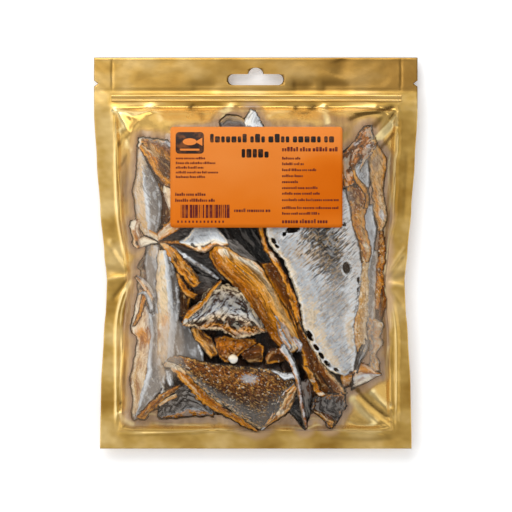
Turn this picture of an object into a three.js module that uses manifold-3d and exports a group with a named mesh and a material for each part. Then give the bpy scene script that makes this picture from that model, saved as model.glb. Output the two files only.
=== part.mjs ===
// A pouch of dried cod collarbones, lying on its foil back with the clear front up.
// Millimetres, +X to the right, +Y towards the header, +Z up. The origin is on the table under
// the middle of the pouch. The sealed window panel and the fish under it are one solid.
import * as THREE from 'three';
import { mergeVertices } from 'three/addons/utils/BufferGeometryUtils.js';
import Module from 'manifold-3d';

const wasm = await Module();
wasm.setup();

// Driving dimensions of the pouch.
const packHeight = 363;
const sideSeal = 17;
const footSeal = 16;
const windowTop = 137; // where the window ends, just under the zip
const rimHeight = 12; // the seals' height above the table at the foot corners
const waistLift = 3; // how much higher they lie at half height
const headerDroop = 5;
const sheetThickness = 1;
const frontRise = 38; // how far the full pouch stands above its seals
const gap = 0.3; // between touching pieces

// Half width of the pouch at a few heights: the filling draws its waist in.
const edgeStations = [
  [-181.5, 144.6], [-125, 143.6], [-75, 141], [-48, 138.7], [-25, 138], [0, 140.6],
  [40, 144.2], [85, 147.4], [130, 150], [181.5, 150.2],
];

// Shoulders: how far from the window's border the front and the back reach their full depth.
const frontShoulder = { side: 56, head: 36, foot: 48 };
const backShoulder = { side: 42, head: 46, foot: 46 };
const crown = 0.09; // how much lower the full front is towards each border
const pinch = { y: -20, reach: 17, depth: 0.6 }; // the crease at each side of the waist
const leastBell = 0.01; // past this the crease has ended, so that the base is flat

const hangHole = { width: 51, slot: 10.2, bump: 7, foot: 155.8 };
const tearNotch = { y: 157.2, depth: 3.7, halfHeight: 2.8 };
const zip = { y: 143.6, height: 6.5, length: 269, base: 0.7, bead: 0.8 };
const label = { x: 0.6, y: 69.8, width: 158.5, height: 93, corner: 2.7, thickness: 0.7 };
const labelRest = { lift: 6, blend: 16 }; // the film under the label, and the slope round it

// The collarbones that press on the film: where each lies, its length and width, the way it
// points in degrees from +X, and how far it lifts the film.
const filmSlope = 13; // how wide the film's slope is beside a raised piece
const collarbones = {
  silverPlate: { x: 64, y: -34, length: 194, width: 64, turn: -80, lift: 9 },
  amberStrap: { x: 6, y: -42, length: 154, width: 28, turn: -51, lift: 14 },
  edgeStrap: { x: 45, y: -60, length: 178, width: 14, turn: -63, lift: 7 },
  footStrap: { x: 64, y: -116, length: 88, width: 27, turn: -54, lift: 9 },
  crumpledGray: { x: -36, y: -23, length: 84, width: 52, turn: -12, lift: 10 },
  foldedAmber: { x: -30, y: -67, length: 80, width: 28, turn: -8, lift: 5 },
  scalyPlate: { x: -16, y: -124, length: 132, width: 56, turn: -14, lift: 11 },
  shoulderFold: { x: -96, y: 60, length: 98, width: 32, turn: -80, lift: 7 },
  crossFlap: { x: -52, y: 24, length: 74, width: 26, turn: 5, lift: 8 },
  leftRidge: { x: -82, y: -50, length: 124, width: 26, turn: 93, lift: 7 },
  outerRidge: { x: -112, y: -72, length: 122, width: 24, turn: 87, lift: 6 },
  amberFlap: { x: -63, y: -8, length: 56, width: 20, turn: -46, lift: 6 },
  footSkin: { x: -60, y: -137, length: 66, width: 24, turn: 14, lift: 4 },
  headPeak: { x: 94, y: 72, length: 98, width: 30, turn: 76, lift: 9 },
  rightRidge: { x: 115, y: 34, length: 104, width: 22, turn: 94, lift: 5 },
  lowerRidge: { x: 110, y: -56, length: 118, width: 22, turn: 88, lift: 6 },
  footFlap: { x: 106, y: -116, length: 46, width: 24, turn: 22, lift: 6 },
  bonePeak: { x: -8, y: 124, length: 34, width: 20, turn: 80, lift: 4 },
};

const top = packHeight / 2;
const windowFoot = -top + footSeal;
const windowMiddle = (windowTop + windowFoot) / 2;
const windowHalfHeight = (windowTop - windowFoot) / 2;

function smooth(share) {
  const s = THREE.MathUtils.clamp(share, 0, 1);
  return s * s * (3 - 2 * s);
}

function halfWidth(y) {
  const next = Math.max(1, edgeStations.findIndex(([height]) => height >= y - 1e-6));
  const [lowY, lowWidth] = edgeStations[next - 1];
  const [highY, highWidth] = edgeStations[next];
  return THREE.MathUtils.lerp(lowWidth, highWidth, smooth((y - lowY) / (highY - lowY)));
}

const windowHalfWidth = (y) => halfWidth(y) - sideSeal;

// The middle of the welded sheets, above the table.
function rimLevel(y) {
  const waist = waistLift * (1 - (y / top) ** 2);
  const droop = headerDroop * Math.max(0, (y - windowTop) / (top - windowTop));
  return rimHeight + waist - droop;
}

// 0 on the window's border, rising to 1 at the shoulder's width inside it.
function fullness(x, y, shoulder, power) {
  const fromSide = windowHalfWidth(y) - Math.abs(x);
  const fromHead = windowTop - y;
  const fromFoot = y - windowFoot;
  const rise = (distance, reach) =>
    Math.sin((Math.PI / 2) * THREE.MathUtils.clamp(distance / reach, 0, 1)) ** power;
  const waistX = Math.abs(x) - windowHalfWidth(pinch.y);
  const bell = Math.exp(-(waistX ** 2 + (y - pinch.y) ** 2) / pinch.reach ** 2);
  return rise(fromSide, shoulder.side) * rise(fromHead, shoulder.head)
    * rise(fromFoot, shoulder.foot) * (1 - pinch.depth * Math.max(0, bell - leastBell));
}

// One collarbone under the film: a plate with a folded ridge, tapered ends and an uneven edge,
// down which the film slopes.
function lift(x, y, piece, phase) {
  const turn = THREE.MathUtils.degToRad(piece.turn);
  const dx = x - piece.x;
  const dy = y - piece.y;
  const along = (dx * Math.cos(turn) + dy * Math.sin(turn)) / (piece.length / 2);
  const uneven = 1 + 0.14 * Math.sin(7 * along + phase);
  const halfPlate = (piece.width / 2) * uneven * (1 - 0.3 * along) + filmSlope / 3;
  const across = (dy * Math.cos(turn) - dx * Math.sin(turn)) / halfPlate;
  if (Math.abs(along) >= 1 || Math.abs(across) >= 1) return 0;
  const fromEnd = (1 - Math.abs(along)) * (piece.length / 2);
  const fromEdge = (1 - Math.abs(across)) * halfPlate;
  const plate = smooth(fromEnd / (1.5 * filmSlope)) * smooth(fromEdge / filmSlope);
  const ridge = Math.exp(-(((across - 0.35 * Math.sin(2 * along + phase)) / 0.4) ** 2));
  return piece.lift * plate * (0.62 + 0.38 * ridge);
}

// All the collarbones together. Under the stiff label the film lies evenly.
function relief(x, y) {
  const sum = Object.values(collarbones)
    .map((piece, index) => lift(x, y, piece, 1.7 * index) ** 3)
    .reduce((total, part) => total + part, 0);
  const outX = Math.abs(x - label.x) - label.width / 2;
  const outY = Math.abs(y - label.y) - label.height / 2;
  const free = smooth(Math.max(outX, outY) / labelRest.blend);
  return THREE.MathUtils.lerp(labelRest.lift, Math.cbrt(sum), free);
}

const rimTop = (y) => rimLevel(y) + sheetThickness / 2;
const rimUnder = (y) => rimLevel(y) - sheetThickness / 2;

function foilInside(x, y) {
  const depth = fullness(x, y, backShoulder, 1);
  return THREE.MathUtils.lerp(rimTop(y), sheetThickness, depth);
}

function foilOutside(x, y) {
  return rimUnder(y) * (1 - fullness(x, y, backShoulder, 1));
}

function filmTop(x, y) {
  const full = fullness(x, y, frontShoulder, 0.85);
  const crowned = 1 - crown * ((x / windowHalfWidth(y)) ** 2
    + ((y - windowMiddle) / windowHalfHeight) ** 2);
  const pressed = smooth(full / 0.8);
  return rimTop(y) + gap + sheetThickness * 0.6 + frontRise * full * crowned
    + relief(x, y) * pressed;
}

function geometryOf(positions, triangles) {
  const geometry = new THREE.BufferGeometry();
  geometry.setAttribute('position', new THREE.Float32BufferAttribute(positions, 3));
  geometry.setIndex(triangles);
  return mergeVertices(geometry, 1e-4);
}

function spaced(low, high, steps) {
  return Array.from({ length: steps + 1 }, (_, i) => THREE.MathUtils.lerp(low, high, i / steps));
}

// The border of a grid as places (column, row), anticlockwise from its low corner.
function borderOf(columns, rows) {
  const c = columns - 1;
  const r = rows - 1;
  return [
    ...Array.from({ length: c }, (_, i) => [i, 0]),
    ...Array.from({ length: r }, (_, j) => [c, j]),
    ...Array.from({ length: c }, (_, i) => [c - i, r]),
    ...Array.from({ length: r }, (_, j) => [0, r - j]),
  ];
}

// A grid of points: place(column, row) gives [x, y], level(x, y) the height. Each cell is split
// along its more level diagonal, so that a ridge that crosses the grid stays smooth.
function addGrid(positions, triangles, columns, rows, place, level, faceUp) {
  const first = positions.length / 3;
  for (let row = 0; row < rows; row += 1) {
    for (let column = 0; column < columns; column += 1) {
      const [x, y] = place(column, row);
      positions.push(x, y, level(x, y));
    }
  }
  for (let row = 0; row + 1 < rows; row += 1) {
    for (let column = 0; column + 1 < columns; column += 1) {
      const a = first + row * columns + column;
      const b = a + 1;
      const c = a + columns + 1;
      const d = a + columns;
      const height = (point) => positions[3 * point + 2];
      const straight = Math.abs(height(a) - height(c)) <= Math.abs(height(b) - height(d));
      const faces = straight ? [[a, b, c], [a, c, d]] : [[a, b, d], [b, c, d]];
      faces.forEach(([p, q, r]) => triangles.push(...(faceUp ? [p, q, r] : [p, r, q])));
    }
  }
  return first;
}

// Joins two loops of equal length, the lower one given first.
function addBand(triangles, lower, upper) {
  lower.forEach((a, i) => {
    const next = (i + 1) % lower.length;
    triangles.push(a, lower[next], upper[next], a, upper[next], upper[i]);
  });
}

// A sheet between two levels over the same grid.
function sheet(columns, rows, place, topLevel, underLevel) {
  const positions = [];
  const triangles = [];
  const upper = addGrid(positions, triangles, columns, rows, place, topLevel, true);
  const lower = addGrid(positions, triangles, columns, rows, place, underLevel, false);
  const border = borderOf(columns, rows);
  const loop = (first) => border.map(([i, j]) => first + j * columns + i);
  addBand(triangles, loop(lower), loop(upper));
  return geometryOf(positions, triangles);
}

function solidOf(geometry) {
  const bare = geometry.clone();
  bare.deleteAttribute('normal');
  bare.deleteAttribute('uv');
  const merged = mergeVertices(bare, 1e-4);
  return new wasm.Manifold(new wasm.Mesh({
    numProp: 3,
    vertProperties: new Float32Array(merged.attributes.position.array),
    triVerts: new Uint32Array(merged.index.array),
  }));
}

function geometryFrom(solid) {
  const mesh = solid.getMesh();
  return geometryOf(mesh.vertProperties, Array.from(mesh.triVerts));
}

function prism(shape, height, curveSegments) {
  const geometry = new THREE.ExtrudeGeometry(shape, {
    depth: height, bevelEnabled: false, curveSegments,
  });
  return geometry.translate(0, 0, -height / 2);
}

// The foil pouch: back tray, welded seals and header as one sheet, with its hole and notches.
function foilPouch() {
  const slope = [0, 0.055, 0.12, 0.19, 0.26, 0.34, 0.68];
  const across = [...slope.map((s) => -1 + s), 0, ...slope.map((s) => 1 - s).reverse()];
  const span = 2 * windowHalfHeight;
  const footSlope = [0, 0.035, 0.075, 0.12].map((s) => windowFoot + s * span);
  const headSlope = [0.86, 0.92, 0.965, 1].map((s) => windowFoot + s * span);
  const heights = [
    -top, ...footSlope, ...spaced(windowFoot + 0.165 * span, windowFoot + 0.8 * span, 19),
    ...headSlope, windowTop + 14, windowTop + 29, top,
  ];
  const place = (column, row) => {
    const y = heights[row];
    if (column === 0) return [-halfWidth(y), y];
    if (column === across.length + 1) return [halfWidth(y), y];
    return [across[column - 1] * windowHalfWidth(y), y];
  };
  const body = sheet(across.length + 2, heights.length, place, foilInside, foilOutside);
  let solid = solidOf(body);
  solid = solid.subtract(solidOf(hangHoleCutter()));
  [-1, 1].forEach((side) => {
    solid = solid.subtract(solidOf(notchCutter(side)));
  });
  return geometryFrom(solid);
}

function hangHoleCutter() {
  const radius = hangHole.slot / 2;
  const end = hangHole.width / 2 - radius;
  const middle = hangHole.foot + radius;
  const upper = hangHole.foot + hangHole.slot;
  const shape = new THREE.Shape();
  shape.moveTo(-end, hangHole.foot);
  shape.lineTo(end, hangHole.foot);
  shape.absarc(end, middle, radius, -Math.PI / 2, Math.PI / 2, false);
  shape.lineTo(hangHole.bump, upper);
  shape.absarc(0, upper, hangHole.bump, 0, Math.PI, false);
  shape.lineTo(-end, upper);
  shape.absarc(-end, middle, radius, Math.PI / 2, (3 * Math.PI) / 2, false);
  return prism(shape, 4 * rimHeight, 10);
}

function notchCutter(side) {
  const edge = side * (halfWidth(tearNotch.y) + 1);
  const tip = side * (halfWidth(tearNotch.y) - tearNotch.depth);
  const shape = new THREE.Shape([
    new THREE.Vector2(edge, tearNotch.y - tearNotch.halfHeight),
    new THREE.Vector2(edge, tearNotch.y + tearNotch.halfHeight),
    new THREE.Vector2(tip, tearNotch.y),
  ]);
  return prism(shape, 4 * rimHeight, 1);
}

// The press-to-close zip: a flat strip with two beads, on the header's slope.
function zipTrack() {
  const half = zip.height / 2;
  const bead = half * 0.34;
  const profile = new THREE.Shape();
  profile.moveTo(-half, 0);
  profile.lineTo(half, 0);
  profile.lineTo(half, zip.base);
  [half - bead, bead - half].forEach((middle) => {
    spaced(0, Math.PI, 6).forEach((angle) => {
      profile.lineTo(middle + bead * Math.cos(angle), zip.base + zip.bead * Math.sin(angle));
    });
  });
  profile.lineTo(-half, zip.base);
  const strip = prism(profile, zip.length, 1);
  strip.applyMatrix4(new THREE.Matrix4().makeBasis(
    new THREE.Vector3(0, 1, 0), new THREE.Vector3(0, 0, 1), new THREE.Vector3(1, 0, 0),
  ));
  return strip;
}

// The clear window panel with the fish that fills it: fine relief above, plain slopes below.
function windowPanel() {
  const columns = 50;
  const rows = 56;
  const inset = gap / windowHalfWidth(0);
  const across = spaced(-1 + inset, 1 - inset, columns - 1);
  const heights = spaced(windowFoot + gap, windowTop - gap, rows - 1);
  const place = (column, row) => [across[column] * windowHalfWidth(heights[row]), heights[row]];
  const positions = [];
  const triangles = [];
  const first = addGrid(positions, triangles, columns, rows, place, filmTop, true);
  const border = borderOf(columns, rows);
  let upper = border.map(([i, j]) => first + j * columns + i);
  const rings = [1, 0.95, 0.89, 0.82, 0.74, 0.66];
  rings.forEach((scale, index) => {
    const lower = border.map(([i, j]) => {
      const [, edgeY] = place(i, j);
      const y = windowMiddle + scale * (edgeY - windowMiddle);
      const x = scale * across[i] * windowHalfWidth(y);
      const clearance = index === 0 ? gap : 4 * gap;
      positions.push(x, y, foilInside(x, y) + clearance);
      return positions.length / 3 - 1;
    });
    addBand(triangles, lower, upper);
    upper = lower;
  });
  const floor = upper.map((i) => new THREE.Vector2(positions[3 * i], positions[3 * i + 1]));
  THREE.ShapeUtils.triangulateShape(floor, []).forEach(([a, b, c]) => {
    triangles.push(upper[a], upper[c], upper[b]);
  });
  return geometryOf(positions, triangles);
}

function roundedRectangle(width, height, radius) {
  const x = width / 2 - radius;
  const y = height / 2 - radius;
  const shape = new THREE.Shape();
  shape.absarc(x, y, radius, 0, Math.PI / 2, false);
  shape.absarc(-x, y, radius, Math.PI / 2, Math.PI, false);
  shape.absarc(-x, -y, radius, Math.PI, (3 * Math.PI) / 2, false);
  shape.absarc(x, -y, radius, (3 * Math.PI) / 2, 2 * Math.PI, false);
  return shape;
}

// The paper label follows the film: a curved sheet trimmed to a rounded outline.
function labelSheet() {
  const columns = 22;
  const rows = 14;
  const across = spaced(label.x - label.width / 2 - 1, label.x + label.width / 2 + 1, columns - 1);
  const heights = spaced(label.y - label.height / 2 - 1, label.y + label.height / 2 + 1, rows - 1);
  const under = (x, y) => filmTop(x, y) + 2 * gap;
  const curved = sheet(columns, rows, (column, row) => [across[column], heights[row]],
    (x, y) => under(x, y) + label.thickness, under);
  const outline = prism(roundedRectangle(label.width, label.height, label.corner), 400, 3);
  outline.translate(label.x, label.y, 0);
  return geometryFrom(solidOf(curved).intersect(solidOf(outline)));
}

function finish(color, roughness, metalness) {
  return new THREE.MeshStandardMaterial({
    color, roughness, metalness, flatShading: true,
  });
}

function piece(name, geometry, material) {
  geometry.computeVertexNormals();
  const mesh = new THREE.Mesh(geometry, material);
  mesh.name = name;
  return mesh;
}

const goldFoil = finish(0xc09a52, 0.35, 0.8);
const zipPlastic = finish(0xd9b977, 0.3, 0.2);
const driedFish = finish(0x8a6238, 0.6, 0);
const orangePaper = finish(0xdd7e33, 0.55, 0);

const pouch = new THREE.Group();
pouch.name = 'collarbone_pouch';
pouch.add(piece('foil_pouch', foilPouch(), goldFoil));
pouch.add(piece('window_with_collarbones', windowPanel(), driedFish));
pouch.add(piece('label', labelSheet(), orangePaper));

const track = piece('zip_track', zipTrack(), zipPlastic);
track.position.set(label.x, zip.y, rimTop(zip.y) + gap);
track.rotation.x = -Math.atan(headerDroop / (top - windowTop));
pouch.add(track);

export default pouch;
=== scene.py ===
import math
import random

import bmesh
import bpy
import numpy as np
from mathutils import Matrix, Vector, kdtree, noise
from mathutils.bvhtree import BVHTree


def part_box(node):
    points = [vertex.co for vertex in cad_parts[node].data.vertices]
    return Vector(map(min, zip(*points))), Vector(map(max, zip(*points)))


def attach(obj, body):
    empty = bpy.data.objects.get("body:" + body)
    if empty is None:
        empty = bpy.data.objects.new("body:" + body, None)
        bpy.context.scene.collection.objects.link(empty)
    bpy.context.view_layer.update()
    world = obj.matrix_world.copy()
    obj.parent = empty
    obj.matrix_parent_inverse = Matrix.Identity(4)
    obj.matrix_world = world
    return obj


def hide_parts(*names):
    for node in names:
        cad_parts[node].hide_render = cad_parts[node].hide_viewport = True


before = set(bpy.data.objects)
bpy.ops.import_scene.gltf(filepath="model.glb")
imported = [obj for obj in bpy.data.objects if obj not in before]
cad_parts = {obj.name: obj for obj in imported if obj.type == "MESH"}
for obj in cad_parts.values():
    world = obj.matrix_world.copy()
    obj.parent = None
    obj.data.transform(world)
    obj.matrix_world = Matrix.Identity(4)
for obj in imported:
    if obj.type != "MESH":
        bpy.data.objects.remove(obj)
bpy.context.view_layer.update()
mm = 0.001


# Heights and outlines are read from the frame, on a grid over the pouch.
heightGrid = {"step": 2 * mm, "reach": (152 * mm, 184 * mm), "eye": 1, "weld": 1e-5}
gridX, gridY = (np.arange(-reach, reach + heightGrid["step"] / 2, heightGrid["step"])
                for reach in heightGrid["reach"])


# The height of a node's upper side over the grid. Beside the node its border's height goes on.
def readHeights(nodeName):
    mesh = bmesh.new()
    mesh.from_mesh(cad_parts[nodeName].data)
    bmesh.ops.remove_doubles(mesh, verts=mesh.verts, dist=heightGrid["weld"])
    tree = BVHTree.FromBMesh(mesh)
    mesh.free()
    heights = np.full((len(gridY), len(gridX)), np.nan)
    for row, y in enumerate(gridY):
        for column, x in enumerate(gridX):
            hit = tree.ray_cast(Vector((x, y, heightGrid["eye"])), Vector((0, 0, -1)))[0]
            if hit is not None:
                heights[row, column] = hit.z
    met = [row for row in range(len(gridY)) if np.isfinite(heights[row]).sum() > 1]
    for row in met:
        known = np.isfinite(heights[row])
        heights[row] = np.interp(gridX, gridX[known], heights[row][known])
    for row in range(len(gridY)):
        if row not in met:
            heights[row] = heights[min(met, key=lambda other: abs(other - row))]
    return heights


def softened(heights, rounds):
    for _ in range(rounds):
        wide = np.pad(heights, 1, mode="edge")
        heights = (4 * heights + wide[:-2, 1:-1] + wide[2:, 1:-1] + wide[1:-1, :-2] + wide[1:-1, 2:]) / 8
    return heights


# A height by place, for numbers or arrays.
def heightReader(heights):
    def gridPlace(place, lines):
        spot = np.clip((np.asarray(place) - lines[0]) / heightGrid["step"], 0, len(lines) - 1.001)
        return spot.astype(int), spot - spot.astype(int)

    def heightAt(x, y):
        c, a = gridPlace(x, gridX)
        r, b = gridPlace(y, gridY)
        low = heights[r, c] * (1 - a) + heights[r, c + 1] * a
        high = heights[r + 1, c] * (1 - a) + heights[r + 1, c + 1] * a
        return low * (1 - b) + high * b
    return heightAt


outline = {"band": 6 * mm, "outer": 0.85}


# Half of a node's width at each height up the pouch, from the outermost corner of each band.
def readOutline(nodeName):
    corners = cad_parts[nodeName].data.vertices
    inner = outline["outer"] * max(vertex.co.x for vertex in corners)
    widest = {}
    for vertex in corners:
        key = round(vertex.co.y / outline["band"])
        if abs(vertex.co.x) > max(inner, widest.get(key, (0, 0))[1]):
            widest[key] = (vertex.co.y, abs(vertex.co.x))
    places, widths = zip(*sorted(widest.values()))
    return lambda y: np.interp(y, places, widths)


windowHeights = readHeights("window_with_collarbones")
filmAt = heightReader(softened(windowHeights, 4))
looseAt = heightReader(softened(windowHeights, 70))  # without the lift of each collarbone
trayAt = heightReader(softened(readHeights("foil_pouch"), 3))
labelAt = heightReader(softened(readHeights("label"), 3))
packHalf = readOutline("foil_pouch")
windowHalf = readOutline("window_with_collarbones")
windowLow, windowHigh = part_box("window_with_collarbones")
packLow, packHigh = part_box("foil_pouch")
print("heights read")


# Small helpers. This one is a share from 0 to 1 with soft ends.
def smooth(share):
    share = np.clip(share, 0, 1)
    return share * share * (3 - 2 * share)


# Points on a smooth curve through the given ones, evenly by station.
def curveThrough(points, count):
    points = np.asarray(points, float)
    ends = np.vstack([2 * points[0] - points[1], points, 2 * points[-1] - points[-2]])
    spot = np.linspace(0, len(points) - 1, count)
    start = np.minimum(spot.astype(int), len(points) - 2)
    s = (spot - start)[:, None]
    a, b, c, d = (ends[start + k] for k in range(4))
    return 0.5 * (2 * b + (c - a) * s + (2 * a - 5 * b + 4 * c - d) * s ** 2
                  + (3 * b - a - 3 * c + d) * s ** 3)


octave = {"weaker": 0.9, "finer": 2.1}


# Noise from about -1 to 1 with features of the given size, at places in metres.
def roughness(x, y, size, seed, octaves=3):
    return np.array([noise.fractal(Vector((a / size, b / size, seed)), octave["weaker"], octave["finer"],
                                   octaves) for a, b in zip(x, y)])


# The distance to the nearer side and end of the window.
def insetAt(x, y):
    return np.minimum(windowHalf(y) - np.abs(x), np.minimum(y - windowLow.y, windowHigh.y - y))


def newGrid(columns, rows):
    mesh = bmesh.new()
    bmesh.ops.create_grid(mesh, x_segments=columns, y_segments=rows, size=0.5)
    places = np.array([vertex.co[:2] for vertex in mesh.verts]) + 0.5
    return mesh, places[:, 0], places[:, 1]


# Grid lines between two ends, at the given steps: a row of places, then a row of steps between them.
def gridLines(places, steps):
    spans = [np.arange(a, b - step / 2, step) for a, b, step in zip(places, places[1:], steps)]
    return np.append(np.concatenate(spans), places[-1])


# A sheet over the pouch, with lines upward in metres and lines from its middle to a side as shares of
# its half width. Gives the mesh and the places of its corners.
def newSheet(side, upward, halfAt):
    across = np.concatenate([-side[:0:-1], side])
    mesh, s, t = newGrid(len(across) - 1, len(upward) - 1)
    y = np.interp(t, np.linspace(0, 1, len(upward)), upward)
    return mesh, np.interp(s, np.linspace(0, 1, len(across)), across) * halfAt(y), y


def placeVertices(mesh, x, y, z):
    for vertex, place in zip(mesh.verts, zip(x, y, z)):
        vertex.co = place


def setField(mesh, name, values):
    layer = mesh.verts.layers.float.new(name)
    for vertex, value in zip(mesh.verts, values):
        vertex[layer] = float(value)


# Frees the mesh and gives an object in the scene. A cutter has no material and stays flat.
def toObject(mesh, name, material=None):
    data = bpy.data.meshes.new(name)
    mesh.to_mesh(data)
    mesh.free()
    if material:
        data.materials.append(material)
        data.shade_smooth()
    piece = bpy.data.objects.new(name, data)
    bpy.context.scene.collection.objects.link(piece)
    return piece


def solidify(piece, thickness):
    wall = piece.modifiers.new("wall", "SOLIDIFY")
    wall.thickness = thickness
    wall.offset = -1
    wall.use_even_offset = False


def applyModifiers(piece):
    seen = piece.evaluated_get(bpy.context.evaluated_depsgraph_get())
    data = bpy.data.meshes.new_from_object(seen)
    piece.modifiers.clear()
    piece.data = data


def settle(piece, slotName, *nodes):
    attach(piece, "root")
    if nodes:
        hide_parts(*nodes)


# Material helpers. A colour is given as the screen shows it, from 0 to 255.
def paint(red, green, blue):
    def linear(value):
        share = value / 255
        return share / 12.92 if share <= 0.04045 else ((share + 0.055) / 1.055) ** 2.4
    return (linear(red), linear(green), linear(blue), 1)


# A value in a material's node tree. Sums and products of such values add the nodes for them.
class NodeValue:
    def __init__(self, tree, socket):
        self.tree = tree
        self.socket = socket

    def __add__(self, other):
        return maths("ADD", self, other)

    def __sub__(self, other):
        return maths("SUBTRACT", self, other)

    def __mul__(self, other):
        return maths("MULTIPLY", self, other)

    def __truediv__(self, other):
        return maths("DIVIDE", self, other)

    def __rsub__(self, other):
        return maths("SUBTRACT", other, self, self.tree)


def plug(socket, value):
    if isinstance(value, NodeValue):
        value.tree.links.new(value.socket, socket)
    else:
        socket.default_value = value


def plugAll(node, inputs):
    for name, value in inputs.items():
        plug(node.inputs[name], value)


# One output of a new node with the given settings and inputs.
def addNode(tree, kind, output, inputs=None, **settings):
    node = tree.nodes.new(kind)
    for name, value in settings.items():
        setattr(node, name, value)
    plugAll(node, inputs or {})
    return NodeValue(tree, node.outputs[output])


def maths(operation, a, b=0.0, tree=None):
    return addNode(tree or a.tree, "ShaderNodeMath", 0, {0: a, 1: b}, operation=operation)


def newMaterial(name):
    material = bpy.data.materials.new(name)
    material.use_nodes = True
    return material, material.node_tree, material.node_tree.nodes["Principled BSDF"]


def objectPlace(tree):
    return addNode(tree, "ShaderNodeTexCoord", "Object")


def attribute(tree, name):
    return addNode(tree, "ShaderNodeAttribute", "Fac", attribute_name=name)


# Places turned by an angle and divided by a size each way, so that patterns have that size.
def stretched(place, sizes, angle=0, offset=(0, 0, 0)):
    turn = (0, 0, math.radians(angle))
    return addNode(place.tree, "ShaderNodeMapping", "Vector",
                   {"Vector": place, "Location": offset, "Rotation": turn, "Scale": sizes},
                   vector_type="TEXTURE")


def noiseOf(place, detail, rough, distortion=0):
    return addNode(place.tree, "ShaderNodeTexNoise", "Fac",
                   {"Vector": place, "Scale": 1, "Detail": detail, "Roughness": rough,
                    "Distortion": distortion})


# 0 at the first level and 1 at the second, smooth between them and level beyond.
def between(value, low, high):
    return addNode(value.tree, "ShaderNodeMapRange", "Result",
                   {"Value": value, "From Min": low, "From Max": high}, interpolation_type="SMOOTHSTEP")


# The second colour over the first, by a share.
def mixed(share, a, b):
    return addNode(share.tree, "ShaderNodeMix", 2, {0: share, 6: a, 7: b}, data_type="RGBA")


def ramp(value, stops):
    node = value.tree.nodes.new("ShaderNodeValToRGB")
    plug(node.inputs["Fac"], value)
    elements = node.color_ramp.elements
    while len(elements) < len(stops):
        elements.new(0.5)
    for element, (position, colour) in zip(elements, stops):
        element.position = position
        element.color = colour
    return NodeValue(value.tree, node.outputs["Color"])


def bumped(height, strength, distance, normal=None):
    inputs = {"Height": height, "Strength": strength, "Distance": distance}
    if normal:
        inputs["Normal"] = normal
    return addNode(height.tree, "ShaderNodeBump", "Normal", inputs)


# How far a place is across the pouch and up it.
def splitPlace(place):
    node = place.tree.nodes.new("ShaderNodeSeparateXYZ")
    plug(node.inputs[0], place)
    return NodeValue(place.tree, node.outputs[0]), NodeValue(place.tree, node.outputs[1])


# The squared distance from an oval's middle, 1 on its rim.
def ovalAway(x, y, middleX, middleY, halfWidth, halfHeight):
    u, v = (x - middleX) / halfWidth, (y - middleY) / halfHeight
    return u * u + v * v


# Dried fish: every piece of collarbone is a strip between two edges.
tint = {
    "black": paint(9, 7, 5), "char": paint(30, 23, 17), "umber": paint(56, 30, 10),
    "smoke": paint(66, 58, 52), "slate": paint(96, 91, 87), "ash": paint(139, 132, 125),
    "silver": paint(172, 176, 180), "snow": paint(218, 221, 223), "bone": paint(246, 234, 208),
    "cream": paint(230, 204, 162), "wheat": paint(222, 192, 152), "sand": paint(208, 166, 106),
    "straw": paint(214, 160, 80), "honey": paint(220, 144, 32), "amber": paint(193, 111, 9),
    "rust": paint(132, 70, 8), "brown": paint(92, 50, 12),
}


# Colours over a strip's width, from its left edge to its right one: names in one text for even steps,
# or a row of places and names.
def bands(colours):
    places, names = colours[::2], colours[1::2]
    if isinstance(colours, str):
        names = colours.split()
        places = [index / (len(names) - 1) for index in range(len(names))]
    return [(place, tint[name]) for place, name in zip(places, names)]


# What a look has unless it says otherwise. Sizes are in millimetres. A level is where something starts
# to show and where it is full, and an amount is how much of it shows.
plainLook = dict(grain="strip", fibre=(16, 1.4, 0), swirl=0.5, blotch=8, speck=2.2, wander=0.35,
    turn=(0.35, 0.65), dark="umber", darkLevel=(0.52, 0.36), darkAmount=0.6,
    pale="cream", paleLevel=(0.53, 0.64), paleAmount=0.5, patches=[], patchLevel=(1.05, 0.6), hair=1.6,
    veinLength=0.9, veinWidth=3.2, veinLevel=(0.05, 0.012), veinAmount=0,
    # The crease entries are painted shade in the crumples' dips, the crest entries painted highlights on
    # their crests.
    creaseShadeLevel=(0.42, 0.15), creaseShadeAmount=0.6,
    crestHighlightLevel=(0.6, 0.85), crestAmount=0.35, pitLevel=(0.42, 0.32), pitAmount=0.35,
    glintLevel=(0.6, 0.68), glintAmount=0.3, edgeNoise=0.7, rimStart=(0.24, 0.4), rimEnd=(0.9, 0.55),
    # rimLight is a painted highlight just inside a strip's edge, and outline a painted contact shadow at
    # the edge.
    rimBreaks=(0.42, 0.58), rimLight=0.4, outlineLevel=(0.34, 0.14), outline=0.75,
    rough=0.42, roughNoise=0.3, gloss=0.12, coat=0.02, coatRough=0.2, grooves=0.6, fineGrooves=0.35)
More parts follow.
